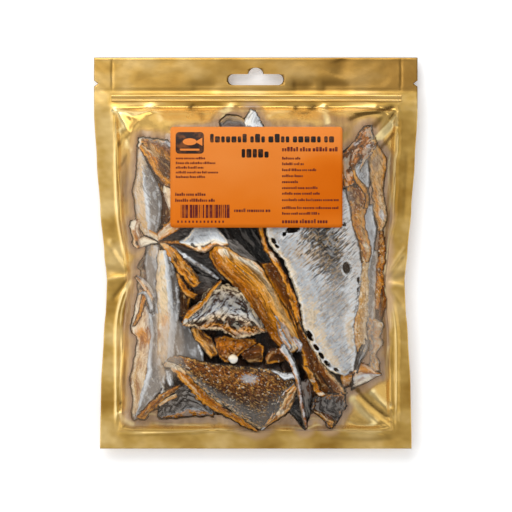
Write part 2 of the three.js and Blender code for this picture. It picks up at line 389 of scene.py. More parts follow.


# The look of one strip: its colours run from edge to edge, and fibres, blotches, single patches and veins
# are laid over them, then painted shade in the creases, painted highlights on the crests, pits, painted
# glints, a painted lit rim and a dark outline of painted contact shadow.
def fishMaterial(name, look):
    look = dict(plainLook, **look)
    material, tree, shader = newMaterial(name)
    place = objectPlace(tree)
    across, along, relief = (attribute(tree, field) for field in ("across", "along", "relief"))
    basis = place if look["grain"] == "object" else addNode(tree, "ShaderNodeUVMap", "UV", uv_map="strip")
    long, short, angle = look["fibre"]
    seed = look["seed"]
    dark, pale = look["dark"], look["pale"]
    fibre = noiseOf(stretched(basis, (long * mm, short * mm, 1), angle, (seed, seed, 0)),
                    5, 0.6, look["swirl"])
    blotch = noiseOf(stretched(place, (look["blotch"] * mm,) * 3, 0, (seed, 0, 0)), 5, 0.6)
    speck = noiseOf(stretched(place, (look["speck"] * mm,) * 3, 0, (0, seed, 0)), 3, 0.6)
    veinSizes = (long * look["veinLength"] * mm, max(short * 3, look["veinWidth"]) * mm, 1)
    veins = noiseOf(stretched(basis, veinSizes, angle, (0, seed, seed)), 3, 0.5, 0.4)
    wander = (blotch - 0.5) * look["wander"]
    zone = across + wander
    colour = ramp(zone, bands(look["across"]))
    if "acrossEnd" in look:
        turn = between(along + wander, *look["turn"])
        colour = mixed(turn, colour, ramp(zone, bands(look["acrossEnd"])))
    paleField = fibre * 0.5 + blotch * 0.5
    layers = [(between(fibre, *look["darkLevel"]) * look["darkAmount"], dark),
              (between(paleField, *look["paleLevel"]) * look["paleAmount"], pale)]
    for along0, across0, alongSize, acrossSize, shade, amount in look["patches"]:
        away = maths("SQRT", ovalAway(along, across, along0, across0, alongSize, acrossSize))
        away = away + (fibre - 0.5) * look["hair"]
        layers.append((between(away, *look["patchLevel"]) * amount, shade))
    edge = attribute(tree, "edge") + (speck - 0.5) * look["edgeNoise"]
    lit = between(edge, *look["rimStart"]) * between(edge, *look["rimEnd"])
    lit = lit * between(blotch, *look["rimBreaks"])
    layers += [(between(maths("ABSOLUTE", veins - 0.5), *look["veinLevel"]) * look["veinAmount"],
                look.get("vein", dark)),
               # Painted shade in the crumples' dips and painted highlights on their crests.
               (between(relief, *look["creaseShadeLevel"]) * look["creaseShadeAmount"], dark),
               (between(relief, *look["crestHighlightLevel"]) * look["crestAmount"], pale),
               (between(speck, *look["pitLevel"]) * look["pitAmount"], "char"),
               (between(speck, *look["glintLevel"]) * look["glintAmount"], "bone"),
               # A painted highlight on a lit rim inside the edge, then a dark outline at the edge as
               # painted contact shadow.
               (lit * look["rimLight"], look.get("rim", pale)),
               (between(edge, *look["outlineLevel"]) * look["outline"], "char")]
    for share, shade in layers:
        colour = mixed(share, colour, tint[shade])
    fine = bumped(speck, look["fineGrooves"], 0.5 * mm)
    plugAll(shader, {"Base Color": colour, "Specular IOR Level": look["gloss"],
                     "Roughness": (speck - 0.5) * look["roughNoise"] + look["rough"],
                     "Coat Weight": look["coat"], "Coat Roughness": look["coatRough"],
                     "Normal": bumped(fibre, look["grooves"], 1 * mm, fine)})
    return material


contents = []  # places on the pieces, seen from above

# What a strip has unless it says otherwise, in millimetres.
plainStrip = dict(cell=1, ragged=0.9, dip=(0, 0), ridges=[], rims=(0, 0), crumple=0.8, crumpleSize=(14, 5),
    sharp=0, loose=0, holes=[], thickness=1.3)
# What all strips share: how far tears, torn ends, dips, raised rims and the edge field reach, how
# softly a strip keeps off the film, and the least room above and below it.
strand = {"tear": 5 * mm, "tearWidth": 8 * mm, "endTear": 4 * mm, "endReach": 6 * mm, "endShare": 1.3,
          "dipReach": 14 * mm, "rimWidth": 1.6 * mm, "edgeReach": 4 * mm, "softness": 0.8 * mm,
          "filmGap": 0.8 * mm, "above": 0.9, "aboveStep": 0.02, "below": 1.6, "belowStep": 0.05,
          "seedStep": 3.7, "leastRows": 8, "leastColumns": 5}
# How strong and how fine the crumples are, and how far a hole draws the points round it to its rim.
crumples = {"broad": 1.1, "fine": 0.45, "finer": 3, "sharpFine": 0.25, "sharp": 4.4, "drop": 0.9,
            "limit": 1.4}
holeRim = {"gone": 0.82, "drawn": 1.2, "edge": 0.2}


# An oval hole, turned by an angle: what lies in it goes, and the points round it move to its rim.
def cutHole(mesh, x, y, halfWidth, halfHeight, angle):
    edge = mesh.verts.layers.float["edge"]
    turnX, turnY = math.cos(math.radians(angle)), math.sin(math.radians(angle))
    inside = []
    for vertex in mesh.verts:
        u, v = vertex.co.x - x, vertex.co.y - y
        away = math.hypot((u * turnX + v * turnY) / halfWidth, (v * turnX - u * turnY) / halfHeight)
        rimAway = max(0, away - 1) * (halfWidth + halfHeight) / 2
        vertex[edge] = min(vertex[edge], rimAway / strand["edgeReach"] + holeRim["edge"])
        if away < holeRim["gone"]:
            inside.append(vertex)
        elif away < holeRim["drawn"]:
            vertex.co.x = x + (vertex.co.x - x) / away
            vertex.co.y = y + (vertex.co.y - y) / away
    bmesh.ops.delete(mesh, geom=inside, context="VERTS")


# The torn outline of a strip: its places, how far each is along it and across it, and its width there.
def strandPlan(strip, seed, length, s, t, rows):
    ribbon = curveThrough(np.array(strip["edges"], float) * mm, rows + 1)
    left, right = ribbon[:, :2], ribbon[:, 2:]
    spans = np.maximum(np.linalg.norm(right - left, axis=1), 1e-6)
    ways = (right - left) / spans[:, None]
    steps = np.linspace(0, length, rows + 1)
    zero = np.zeros(rows + 1)
    ragged = strip["ragged"] * mm * np.minimum(1, spans / strand["tearWidth"])
    left = left - ways * (ragged * roughness(steps, zero, strand["tear"], seed))[:, None]
    right = right + ways * (ragged * roughness(steps, zero, strand["tear"], seed + 5))[:, None]
    row = np.rint(t * rows).astype(int)
    x, y = (left[row] + (right - left)[row] * s[:, None]).T
    u, v = t * length, s * spans[row]
    heading = np.gradient((left + right) / 2, axis=0)
    heading /= np.maximum(np.linalg.norm(heading, axis=1, keepdims=True), 1e-9)
    ends = np.maximum(0, 1 - u / strand["endReach"]) + np.maximum(0, 1 - (length - u) / strand["endReach"])
    push = ends * ragged[row] * strand["endShare"] * roughness(v, 0 * v, strand["endTear"], seed + 9)
    return x + heading[row, 0] * push, y + heading[row, 1] * push, u, v, spans[row], ways[0]


# The crumples of a strip, below 0 in its dips and above 0 on its crests.
def strandRelief(strip, seed, u, v):
    long, short = strip["crumpleSize"]
    broad = roughness(u * short / long, v, short * mm, seed + 2, 4)
    finer, limit = crumples["finer"], crumples["limit"]
    fine = roughness(u * short / long * finer, v * finer, short * mm, seed + 3)
    sharp = strip["sharp"]
    folds = crumples["sharp"] * np.abs(broad + crumples["sharpFine"] * fine) - crumples["drop"]
    relief = broad * crumples["broad"] + fine * crumples["fine"]
    return np.clip(relief * (1 - sharp) + sharp * folds, -limit, limit)


# How deep a strip lies below the film: its own slope, dipped ends, ridges, raised rims and crumples.
def strandDepth(strip, seed, s, u, v, length, span, relief):
    under = strip["under"]
    depth = np.interp(s, np.linspace(0, 1, len(under)), under) * mm
    startDip, endDip = strip["dip"]
    depth += (startDip * mm * smooth(1 - u / strand["dipReach"])
              + endDip * mm * smooth(1 - (length - u) / strand["dipReach"]))
    for place, ridgeWidth, height in strip["ridges"]:
        bend = place + 0.05 * np.sin(u / (11 * mm) + seed) + 0.03 * np.sin(u / (5 * mm) + 2 * seed)
        depth -= height * mm * np.exp(-((s - bend) / ridgeWidth) ** 2)
    for height, away in zip(strip["rims"], (v, span - v)):
        depth -= height * mm * np.exp(-(away / strand["rimWidth"]) ** 2)
    return depth - strip["crumple"] * mm * relief


# One strip. edges holds rows of left x, left y, right x, right y, in millimetres, from its start to
# its end. under is how deep it lies below the film, from its left edge to its right one.
def makeStrip(name, strip):
    strip = dict(plainStrip, **strip)
    order = strip["seed"]
    seed = order * strand["seedStep"]
    cell = strip["cell"] * mm
    edges = np.array(strip["edges"], float) * mm
    middles = (edges[:, :2] + edges[:, 2:]) / 2
    length = np.linalg.norm(np.diff(middles, axis=0), axis=1).sum()
    width = np.linalg.norm(edges[:, 2:] - edges[:, :2], axis=1).max()
    rows = max(strand["leastRows"], round(length / cell))
    columns = max(strand["leastColumns"], round(width / cell))
    mesh, s, t = newGrid(columns, rows)
    x, y, u, v, span, first = strandPlan(strip, seed, length, s, t, rows)
    relief = strandRelief(strip, seed, u, v)
    depth = strandDepth(strip, seed, s, u, v, length, span, relief)
    film = filmAt(x, y)
    loose = strip["loose"]
    roof = film * (1 - loose) + np.minimum(film, looseAt(x, y)) * loose
    least = (strand["above"] + strand["aboveStep"] * order) * mm
    depth = least + np.logaddexp(0, (depth - least) / strand["softness"]) * strand["softness"]
    bottom = trayAt(x, y) + (strand["below"] + strand["belowStep"] * order) * mm
    placeVertices(mesh, x, y, np.minimum(np.maximum(roof - depth, bottom), film - strand["filmGap"]))
    if not loose:
        contents.extend(zip(x, y))
        contents.extend(face.calc_center_median()[:2] for face in mesh.faces)

    edge = np.minimum(np.minimum(v, span - v), np.minimum(u, length - u)) / strand["edgeReach"]
    for field, values in {"across": s, "along": t, "relief": 0.5 + 0.5 * relief,
                          "edge": np.clip(edge, 0, 1)}.items():
        setField(mesh, field, values)
    uvLayer = mesh.loops.layers.uv.new("strip")
    mesh.verts.index_update()
    for face in mesh.faces:
        for loop in face.loops:
            loop[uvLayer].uv = (u[loop.vert.index], v[loop.vert.index])
    onward = middles[1] - middles[0]
    if first[0] * onward[1] - first[1] * onward[0] < 0:
        bmesh.ops.reverse_faces(mesh, faces=mesh.faces)
    for *oval, angle in strip["holes"]:
        holeX, holeY, holeWidth, holeHeight = (size * mm for size in oval)
        cutHole(mesh, holeX, holeY, holeWidth / 2, holeHeight / 2, angle)
    piece = toObject(mesh, name, fishMaterial(name, dict(strip["look"], seed=order)))
    solidify(piece, strip["thickness"] * mm)
    applyModifiers(piece)
    settle(piece, "dried_fish")


amberLook = dict(across="rust amber honey amber", pale="sand", darkAmount=0.75, paleAmount=0.4, rough=0.32,
    coat=0.05, veinAmount=0.5, rim="honey", rimLight=0.6, gloss=0.06, crestAmount=0.45)
skinLook = dict(across="cream silver silver", dark="slate", pale="snow", darkAmount=0.5, rough=0.5,
    fibre=(11, 1.5, 0), pitAmount=0.15, outline=0.6, rimLight=0.7)
charLook = dict(across="smoke char smoke", dark="black", pale="ash", darkAmount=0.7, paleAmount=0.35,
    rough=0.45, coat=0.1, glintAmount=0.05)
columnLook = dict(across="sand cream silver ash ash", dark="slate", pale="snow", darkAmount=0.35,
    paleAmount=0.45, rough=0.5, coat=0.05, fibre=(7, 1.4, 30), creaseShadeAmount=0.3, pitAmount=0.1, hair=3,
    outline=0.2)
rimLook = dict(across="sand cream honey", dark="rust", pale="bone", darkAmount=0.5, rough=0.4, coat=0.1,
    pitAmount=0.2, outline=0.3)

# the middle, from the top layer down
makeStrip("silver_plate", dict(
    edges=[(12, 50, 83, 58), (9, 28, 88, 34), (10.5, 14, 91, 18), (17, 3, 95, 8), (25, -6, 97, -3),
        (29.5, -16, 98, -12), (34.5, -29, 98, -22), (40, -45, 96, -40), (42, -58, 94, -54),
        (44, -68, 90.5, -66), (51, -86, 91.5, -80), (60, -101, 93, -91), (71, -110, 92, -99),
        (82, -113, 91, -108)], under=(3, 1.6, 1.4, 2.2, 3.5), ragged=1.1, rims=(0.8, 0.5), crumple=0.45,
    crumpleSize=(9, 6), seed=1, thickness=1.5,
    holes=[(84.3, -14, 8.4, 12, 10), (34, 21.5, 14, 6, 10), (26, 17.4, 2.4, 4.4, -30),
        (16.4, 11, 3.4, 6.4, 30), (19.6, 6, 2.4, 4.4, 60), (95, -25, 2.6, 6, 0), (94.6, -34, 2.2, 4.4, 20),
        (82, 26, 3, 3, 0), (49.6, -76, 5, 11.4, 30), (55.6, -87, 3.6, 7, 40), (60.4, -94.6, 3.6, 7, 38),
        (66, -102, 3.8, 7.4, 42), (74, -107.6, 3, 5, 55)],
    look=dict(skinLook,
        across=(0, "bone", 0.03, "cream", 0.09, "silver", 0.72, "silver", 0.82, "snow", 1, "snow"),
        grain="object", fibre=(9, 1.5, 41), darkAmount=0.55, creaseShadeAmount=0.3, wander=0.12,
        darkLevel=(0.48, 0.38), swirl=0.7, hair=4, crestAmount=0.2, veinAmount=0.3, vein="sand",
        patches=[(0.28, 0.5, 0.1, 0.34, "sand", 0.35), (0.2, 0.62, 0.16, 0.3, "slate", 0.85),
            (0.32, 0.58, 0.15, 0.26, "smoke", 0.7), (0.43, 0.64, 0.1, 0.2, "slate", 0.7),
            (0.16, 0.6, 0.09, 0.26, "char", 0.75), (0.28, 0.66, 0.1, 0.12, "char", 0.6),
            (0.38, 0.5, 0.05, 0.12, "char", 0.5), (0.56, 0.55, 0.1, 0.3, "ash", 0.5),
            (0.66, 0.16, 0.14, 0.14, "cream", 0.6), (0.52, 0.96, 0.05, 0.025, "smoke", 0.8),
            (0.6, 0.96, 0.04, 0.02, "smoke", 0.8), (0.74, 0.9, 0.1, 0.08, "cream", 0.6),
            (0.82, 0.3, 0.16, 0.12, "cream", 0.5)])))
makeStrip("amber_strap", dict(
    edges=[(-43, 4, -36, 8), (-43, -4, -26, 6), (-38, -14, -12, -3), (-28, -24, 2, -9), (-15, -36, 12, -24),
        (-7, -49, 21, -40), (-1, -61, 30, -54), (9, -72, 36, -68), (18, -84, 42, -84), (24, -90, 33, -94)],
    under=(4.5, 2.4, 1.2, 1.2, 2.6), dip=(3.5, 2), ragged=0.8, crumple=0.7, crumpleSize=(30, 4),
    ridges=[(0.22, 0.06, 0.8), (0.5, 0.07, 0.7), (0.8, 0.06, 0.8)], seed=2, thickness=2,
    look=dict(amberLook, fibre=(26, 1.8, 2), swirl=1.2, wander=0.25,
        across=(0, "rust", 0.25, "amber", 0.6, "honey", 0.85, "sand", 1, "honey"),
        patches=[(0.3, 0.88, 0.14, 0.14, "bone", 0.9), (0.13, 0.62, 0.05, 0.2, "bone", 0.8),
            (0.8, 0.66, 0.08, 0.1, "silver", 0.6), (0.48, 0.88, 0.1, 0.08, "cream", 0.6),
            (0.6, 0.3, 0.14, 0.16, "rust", 0.6), (0.93, 0.75, 0.06, 0.2, "bone", 0.7)])))
makeStrip("bony_tail", dict(
    edges=[(20, -89, 27, -83), (28.6, -99, 33.6, -95), (34, -110, 38.6, -107), (37.6, -122, 41.6, -120),
        (39.8, -138, 44, -137), (43, -152, 47, -151), (46, -163, 48, -162)], under=(2, 1, 1.6),
    rims=(0.7, 0.2), crumple=0.7, crumpleSize=(9, 3), seed=3, ragged=1.3, sharp=0.6,
    look=dict(skinLook, across="amber honey silver slate slate", dark="umber",
        acrossEnd="cream amber rust char", turn=(0.4, 0.7), fibre=(12, 1.2, 0), darkAmount=0.8,
        creaseShadeAmount=0.8, paleAmount=0.3)))
makeStrip("bone_knot_1", dict(
    edges=[(15, -57, 19, -58), (19.6, -67, 23, -66), (21, -76, 25.6, -73.6), (26, -84, 30, -80.6),
        (31, -90, 34, -87)], under=(0.8, 0.8), ragged=1.7, crumple=0.9, crumpleSize=(7, 3), seed=3.2,
    sharp=0.6, look=dict(skinLook, across="snow honey snow silver", dark="umber", fibre=(10, 1.4, 0))))
makeStrip("bone_knot_2", dict(
    edges=[(32, -79, 35, -77), (35, -84, 40, -80), (39, -88, 43, -84), (37, -92, 41, -91)],
    under=(0.6, 0.6), ragged=1.2, crumpleSize=(6, 3), seed=3.4,
    look=dict(skinLook, across="snow rust snow", fibre=(10, 1.4, 0))))
makeStrip("edge_strap", dict(
    edges=[(0, 28, 7, 28), (4, 14, 9, 14), (6.5, 5, 11.5, 6), (12.5, -5, 19, -4), (21, -19, 27, -18),
        (26.5, -30, 32, -29), (30, -42, 38, -42), (33, -52, 40, -52), (37, -65, 42, -63)],
    under=(3, 2.2, 3), ragged=1.5, rims=(0.5, 0.5), crumpleSize=(8, 3), seed=4,
    look=dict(amberLook, across="amber honey amber rust", fibre=(14, 1.5, 0), paleAmount=0.35,
        patches=[(0.16, 0.3, 0.05, 0.4, "cream", 0.7), (0.36, 0.6, 0.06, 0.4, "bone", 0.6)])))
makeStrip("wide_strap", dict(
    edges=[(28, -48, 38, -55), (34, -62, 42, -68), (38, -80, 51, -84), (43, -98, 61, -101),
        (48, -116, 72, -114), (58, -129, 81, -125), (67, -136, 84, -130)], under=(3.5, 5, 4.5, 3),
    ragged=1.2, rims=(0.3, 0.8), crumple=1.0, crumpleSize=(22, 5), seed=5, ridges=[(0.12, 0.08, 1.2)],
    look=dict(amberLook, across="amber rust brown brown rust cream", fibre=(20, 1.8, 0), paleAmount=0.3,
        darkAmount=0.8, patches=[(0.8, 0.15, 0.2, 0.12, "honey", 0.9), (0.5, 0.1, 0.2, 0.12, "honey", 0.8),
            (0.74, 0.55, 0.12, 0.08, "char", 0.8), (0.86, 0.42, 0.06, 0.12, "char", 0.7)])))
makeStrip("foot_skin", dict(
    edges=[(58, -130, 80, -128), (53, -137, 83.6, -136), (50, -143, 82.6, -143), (56, -148, 79.6, -150),
        (63, -155, 76, -156), (68, -163, 71, -163)], under=(4.5, 3.5, 4), ragged=2.4, crumple=1.5,
    crumpleSize=(8, 4), seed=6, rims=(0.6, 0.6), sharp=0.7,
    look=dict(charLook, across="slate smoke slate smoke ash", hair=4, acrossEnd="honey rust smoke slate",
        turn=(0.5, 0.7), swirl=0.2, fibre=(9, 1.1, 20), paleAmount=0.8, rimLight=0.6, rim="honey",
        crestAmount=0.6,
        patches=[(0.1, 0.8, 0.12, 0.14, "brown", 0.8), (0.3, 0.1, 0.2, 0.16, "umber", 0.8)])))
makeStrip("foot_curl", dict(
    edges=[(42, -103, 48, -104), (46, -112, 53, -112), (50, -119, 57, -119), (53, -127, 59, -126),
        (59, -133, 66, -131)], under=(1.6, 1.4), ragged=1.6, rims=(0.6, 0.6), crumple=1.2,
    crumpleSize=(10, 4), seed=5.5, sharp=0.6,
    look=dict(amberLook, across="brown honey amber rust",
        patches=[(0.45, 0.5, 0.06, 0.4, "bone", 0.8), (0.9, 0.5, 0.06, 0.5, "bone", 0.8)])))
makeStrip("foot_skin_edge", dict(
    edges=[(53, -145, 54, -148), (60, -147, 59, -151.5), (66, -152, 64, -157), (74, -156, 70, -163)],
    under=(3.4, 3), ragged=1.2, crumple=0.9, crumpleSize=(8, 3), seed=6.5, sharp=0.5,
    look=dict(amberLook, across="amber cream honey rust", fibre=(9, 1.5, 0))))
# A deep piece in the gap beside the scaly fold, coloured near black as painted shade.
makeStrip("foot_gap_shade", dict(
    edges=[(33, -132, 41, -132), (29.6, -144, 46, -140), (37, -154, 47, -154), (44.6, -164, 46.6, -164)],
    under=(6.5, 5.5), ragged=1.2, crumple=1.0, crumpleSize=(8, 3), seed=7.4, sharp=0.4,
    look=dict(charLook, across="char black smoke amber", fibre=(9, 1.4, 40))))
makeStrip("foot_slate", dict(
    edges=[(40, -118, 53, -116), (42.6, -134, 52, -132), (44.4, -148, 50.6, -149), (46, -157, 48, -157)],
    under=(4.4, 5), ragged=1.0, crumple=1.2, crumpleSize=(10, 3), seed=7.7, sharp=0.7,
    look=dict(charLook, across="slate ash char smoke", fibre=(10, 1.2, 0), crestAmount=0.7,
        patches=[(0.1, 0.5, 0.3, 0.9, "brown", 0.9)])))
makeStrip("foot_brown", dict(
    edges=[(46, -118, 66, -120), (50, -128, 66, -130), (51, -138, 62, -139), (50, -146, 56, -148)],
    under=(8, 8), crumple=0.9, seed=7,
    look=dict(amberLook, across="rust umber char umber", paleAmount=0.1)))
makeStrip("scaly_plate", dict(
    edges=[(-81, -96, -82, -100), (-72, -94, -69, -105), (-58, -97, -61, -114), (-42, -101, -51, -124),
        (-22, -103, -38, -135), (-2, -105, -22, -146), (18, -107, -7, -157), (30, -110, 4, -163),
        (36, -117, 14, -156), (38, -122, 22, -147)], under=(3, 1.5, 1.3, 1.6), dip=(0.5, 2.5), ragged=0.7,
    rims=(0.2, 0.5), crumple=0.3, crumpleSize=(5, 4), seed=8, thickness=1.5,
    look=dict(across=(0, "smoke", 0.08, "brown", 0.2, "rust", 0.68, "brown", 0.77, "smoke", 0.84, "slate",
            0.95, "ash", 1, "cream"),
        acrossEnd=(0, "char", 0.1, "umber", 0.3, "brown", 0.5, "smoke", 0.95, "slate", 1, "cream"),
        turn=(0.5, 0.85), dark="char", pale="straw", darkAmount=0.9, paleAmount=0.6, darkLevel=(0.52, 0.44),
        paleLevel=(0.52, 0.6), rough=0.45, grain="object", fibre=(3.6, 1.1, -37), blotch=3, wander=0.1,
        speck=2.6, pitAmount=0.3, glintAmount=0.45, swirl=0.4, creaseShadeAmount=0.2, crestAmount=0.1, hair=3,
        outline=0.6, patches=[(0.05, 0.5, 0.07, 0.6, "ash", 0.8), (0.12, 0.5, 0.07, 0.4, "slate", 0.7),
            (0.56, 0.26, 0.05, 0.1, "silver", 0.7), (0.5, 0.84, 0.4, 0.07, "slate", 0.6),
            (0.88, 0.7, 0.16, 0.4, "slate", 0.75), (0.5, 0.05, 0.1, 0.05, "char", 0.8)])))
makeStrip("scaly_rim", dict(
    edges=[(-79, -95, -88, -103), (-68, -104, -77, -109), (-60, -113, -71, -117), (-51, -122.5, -62, -125),
        (-44, -129, -56, -134), (-36, -136, -46, -142), (-25, -144, -34, -148.5), (-14, -151, -21, -155.5),
        (-5, -158, -9, -162.5), (3, -164, 1, -166)], under=(1.6, 1.2, 3.4), ragged=1.8, rims=(0.2, 0.9),
    crumple=1.2, crumpleSize=(11, 3), seed=57, sharp=0.6,
    look=dict(amberLook,
        across=(0, "char", 0.14, "char", 0.26, "rust", 0.45, "amber", 0.75, "honey", 1, "rust"),
        fibre=(16, 1.6, 0), paleAmount=0.25, darkAmount=0.8, wander=0.14, patches=[
            (0.05, 0.5, 0.09, 0.9, "bone", 0.95), (0.14, 0.3, 0.06, 0.2, "cream", 0.8),
            (0.3, 0.6, 0.2, 0.12, "cream", 0.5)])))
makeStrip("scaly_fold", dict(
    edges=[(36, -119, 39, -124), (23, -130, 35, -137), (18, -139, 30, -147), (14, -148, 24, -152),
        (9, -157, 15, -158), (4, -164, 6, -165)], under=(2.2, 1.6, 3), ragged=1.1, rims=(0.8, 0.5),
    crumple=1.2, crumpleSize=(8, 4), seed=9,
    look=dict(amberLook, across=(0, "slate", 0.1, "snow", 0.24, "honey", 0.42, "cream", 0.62, "amber", 0.8,
            "cream", 1, "honey"), fibre=(12, 1.6, 0), wander=0.2, patches=[
            (0.5, 0.6, 0.1, 0.3, "bone", 0.7), (0.7, 0.7, 0.1, 0.2, "rust", 0.7),
            (0.95, 0.5, 0.05, 0.6, "snow", 0.9)])))
makeStrip("scaly_tatter", dict(
    edges=[(13, -107, 15, -109), (20, -108, 21, -113), (27, -110, 27, -117), (34, -111, 33, -116),
        (37, -114, 36, -116)], under=(1.2, 1), ragged=1.3, crumpleSize=(5, 4), seed=58,
    look=dict(skinLook, across="slate ash snow ash", dark="char", hair=3)))
makeStrip("crumpled_skin", dict(
    edges=[(-67, -62, -68, -67), (-61, -54, -58, -69), (-50, -43, -44, -71), (-41, -32, -30, -72),
        (-29, -29, -19, -79), (-14, -35, -6, -77), (-6, -48, 4, -74), (4, -63, 10, -73)],
    under=(3, 2.2, 1.4, 2, 3), ragged=1.6, rims=(0.5, 1.0), crumple=1.7, sharp=1, crumpleSize=(12, 7),
    seed=10, thickness=1.4,
    look=dict(skinLook, across=(0, "cream", 0.2, "ash", 0.5, "silver", 0.68, "wheat", 0.76, "brown", 0.85,
            "honey", 0.93, "rust", 1, "cream"), grain="object", fibre=(12, 3, 52), swirl=1.4, dark="umber",
        darkLevel=(0.48, 0.4), darkAmount=0.8, pitAmount=0.05, wander=0.12, creaseShadeAmount=0.95,
        crestAmount=0.25, pale="bone", paleAmount=0.35, hair=2, speck=3, glintAmount=0.05, rim="cream",
        # The black patches are painted shadow in the skin's gaps.
        patches=[(0.6, 0.72, 0.1, 0.12, "black", 0.95), (0.42, 0.78, 0.08, 0.08, "black", 0.9),
            (0.72, 0.4, 0.05, 0.1, "black", 0.95), (0.8, 0.7, 0.06, 0.1, "black", 0.9),
            (0.9, 0.5, 0.1, 0.35, "ash", 0.7), (0.2, 0.75, 0.1, 0.16, "char", 0.8),
            (0.3, 0.4, 0.05, 0.14, "umber", 0.7), (0.5, 0.25, 0.04, 0.14, "umber", 0.6)])))
makeStrip("crumpled_edge", dict(
    edges=[(-69, -64, -66, -66), (-63, -53, -58, -58), (-50, -43, -47, -48), (-41, -32, -38, -36),
        (-32, -24, -31, -27)], under=(1.4, 1.2), crumple=0.5, seed=11,
    look=dict(amberLook, across="rust amber honey bone", fibre=(14, 1.2, 0))))
makeStrip("folded_amber_1", dict(
    edges=[(-60, -68, -52, -70), (-58, -78, -45, -74), (-50, -86, -38, -82), (-42, -97, -34, -95)],
    under=(5, 6), crumple=1.0, seed=12,
    look=dict(amberLook, across="sand honey brown umber", darkAmount=0.8)))
makeStrip("folded_amber_2", dict(
    edges=[(-38, -78, -36, -93), (-30, -76, -30, -100), (-20, -77, -22, -101), (-10, -78, -12, -92),
        (0, -79, 2, -84)], under=(7, 5.5, 7), crumple=1.2, crumpleSize=(7, 7), seed=13,
    look=dict(amberLook, across="brown amber rust brown", darkAmount=0.8, fibre=(6, 3, 20),
        paleAmount=0.15)))
makeStrip("lobe_1", dict(
    edges=[(-15, -91, -11, -98), (-8, -84, -6, -101), (2, -82, 4, -102), (8, -86, 7, -99)], under=(9, 7, 9),
    crumple=0.9, seed=14,
    look=dict(amberLook, across="umber rust brown umber", paleAmount=0.12, fibre=(8, 3, 0))))
makeStrip("lobe_2", dict(
    edges=[(8, -96, 9, -103), (14, -87, 17, -103), (22, -88, 26, -101), (27, -93, 30, -99)],
    under=(9, 7.5, 9), crumple=0.9, seed=15,
    look=dict(amberLook, across="umber rust brown umber", paleAmount=0.1, fibre=(8, 3, 0))))
makeStrip("bone_end", dict(
    edges=[(-25.5, -96, -25, -99), (-23, -93.8, -22.6, -101.6), (-20, -93.4, -20, -102),
        (-17.4, -95, -17.6, -100.6), (-16.4, -96.6, -16.6, -98.8)], under=(4, 2.6, 4), crumple=0.2, seed=16,
    thickness=3, ragged=0.2,
    look=dict(rimLook, across="cream bone snow bone", darkAmount=0.1, pitAmount=0.05)))
makeStrip("cross_flap", dict(
    edges=[(-71, 11, -70, 9), (-63, 16, -60, 4), (-57, 24, -51, 1), (-48, 26, -46, 1), (-38, 25, -38, 7),
        (-30, 17, -30, 6), (-26, 12, -25, 8)], under=(3, 1.6, 1.2, 1), ragged=1.1, rims=(0, 1.0),
    crumple=0.6, seed=17, thickness=1.7,
    look=dict(skinLook, across=(0, "ash", 0.4, "silver", 0.62, "snow", 0.72, "bone", 0.78, "umber", 0.86,
            "honey", 0.94, "amber", 1, "sand"), wander=0.1, darkAmount=0.3, fibre=(8, 1.6, 60), rim="cream",
        patches=[(0.22, 0.72, 0.05, 0.16, "char", 0.9), (0.34, 0.82, 0.05, 0.12, "bone", 0.9),
            (0.72, 0.82, 0.12, 0.1, "bone", 0.8)])))
makeStrip("dark_plate", dict(
    edges=[(-92, 16, -91, 9), (-78, 28, -76, 8), (-66, 32, -66, 8), (-54, 30, -60, 6)], under=(6, 6),
    crumple=0.7, seed=18, look=dict(charLook, across="smoke smoke smoke slate", fibre=(4, 1.2, 30))))
makeStrip("cross_strap_1", dict(
    edges=[(-104, 24, -103, 20), (-96, 20, -97, 15), (-90, 17, -90, 11)], under=(2, 1.6), crumple=0.5,
    seed=19, look=dict(rimLook, across="honey cream bone")))
makeStrip("cross_strap_2", dict(
    edges=[(-91, 18, -90, 11), (-84, 25, -82, 15), (-77, 32, -70, 22)], under=(2.2, 1.8), crumple=0.6,
    seed=20, look=dict(rimLook, across="honey rust cream honey amber")))
makeStrip("cross_strap_3", dict(
    edges=[(-90, 11, -90, 8), (-80, 12, -80, 8), (-70, 11, -70, 7.5), (-62, 8, -60, 4), (-52, 3, -51, 0)],
    under=(3.4, 3), crumple=0.4, seed=21, look=dict(amberLook, across="honey rust amber")))

# the left side
makeStrip("upper_fold", dict(
    edges=[(-110, 98, -108, 107), (-104, 92, -96, 106), (-97, 80, -82, 104), (-92, 71, -70, 98),
        (-84, 63, -62, 85), (-77, 58, -60, 70)], under=(2.4, 1.8, 2.6), ragged=1.3, rims=(0.8, 0.9),
    crumple=1.3, crumpleSize=(16, 5), seed=22,
    look=dict(amberLook, across=(0, "rust", 0.14, "honey", 0.3, "amber", 0.42, "brown", 0.56, "honey", 0.72,
            "rust", 0.88, "ash", 1, "cream"), fibre=(14, 1.8, 0), paleAmount=0.3, darkAmount=0.8,
        wander=0.25, patches=[(0.02, 0.6, 0.06, 0.6, "bone", 0.9), (0.07, 0.75, 0.03, 0.1, "black", 0.9),
            (0.1, 0.5, 0.035, 0.1, "black", 0.95), (0.26, 0.34, 0.16, 0.05, "cream", 0.6),
            (0.62, 0.35, 0.2, 0.3, "umber", 0.8), (0.5, 0.92, 0.2, 0.06, "snow", 0.6)])))
makeStrip("left_column", dict(
    edges=[(-109, 98, -105, 97), (-110, 84, -101, 84), (-110.5, 74, -96, 74), (-114, 59, -89, 60),
        (-112.5, 48, -87, 48), (-111.5, 36, -87, 36), (-108, 25, -89, 25), (-103, 16, -93, 15)],
    under=(4, 2, 3, 4.5), ragged=1.0, crumple=0.6, crumpleSize=(12, 5), seed=23, ridges=[(0.46, 0.05, 1.4)],
    look=dict(columnLook, across=(0, "sand", 0.1, "wheat", 0.38, "wheat", 0.43, "snow", 0.5, "snow", 0.6,
            "ash", 0.94, "slate", 1, "ash"), wander=0.1, patches=[(0.12, 0.4, 0.16, 0.7, "wheat", 0.8),
            (0.4, 0.7, 0.3, 0.3, "slate", 0.5), (0.82, 0.2, 0.12, 0.2, "sand", 0.8)])))
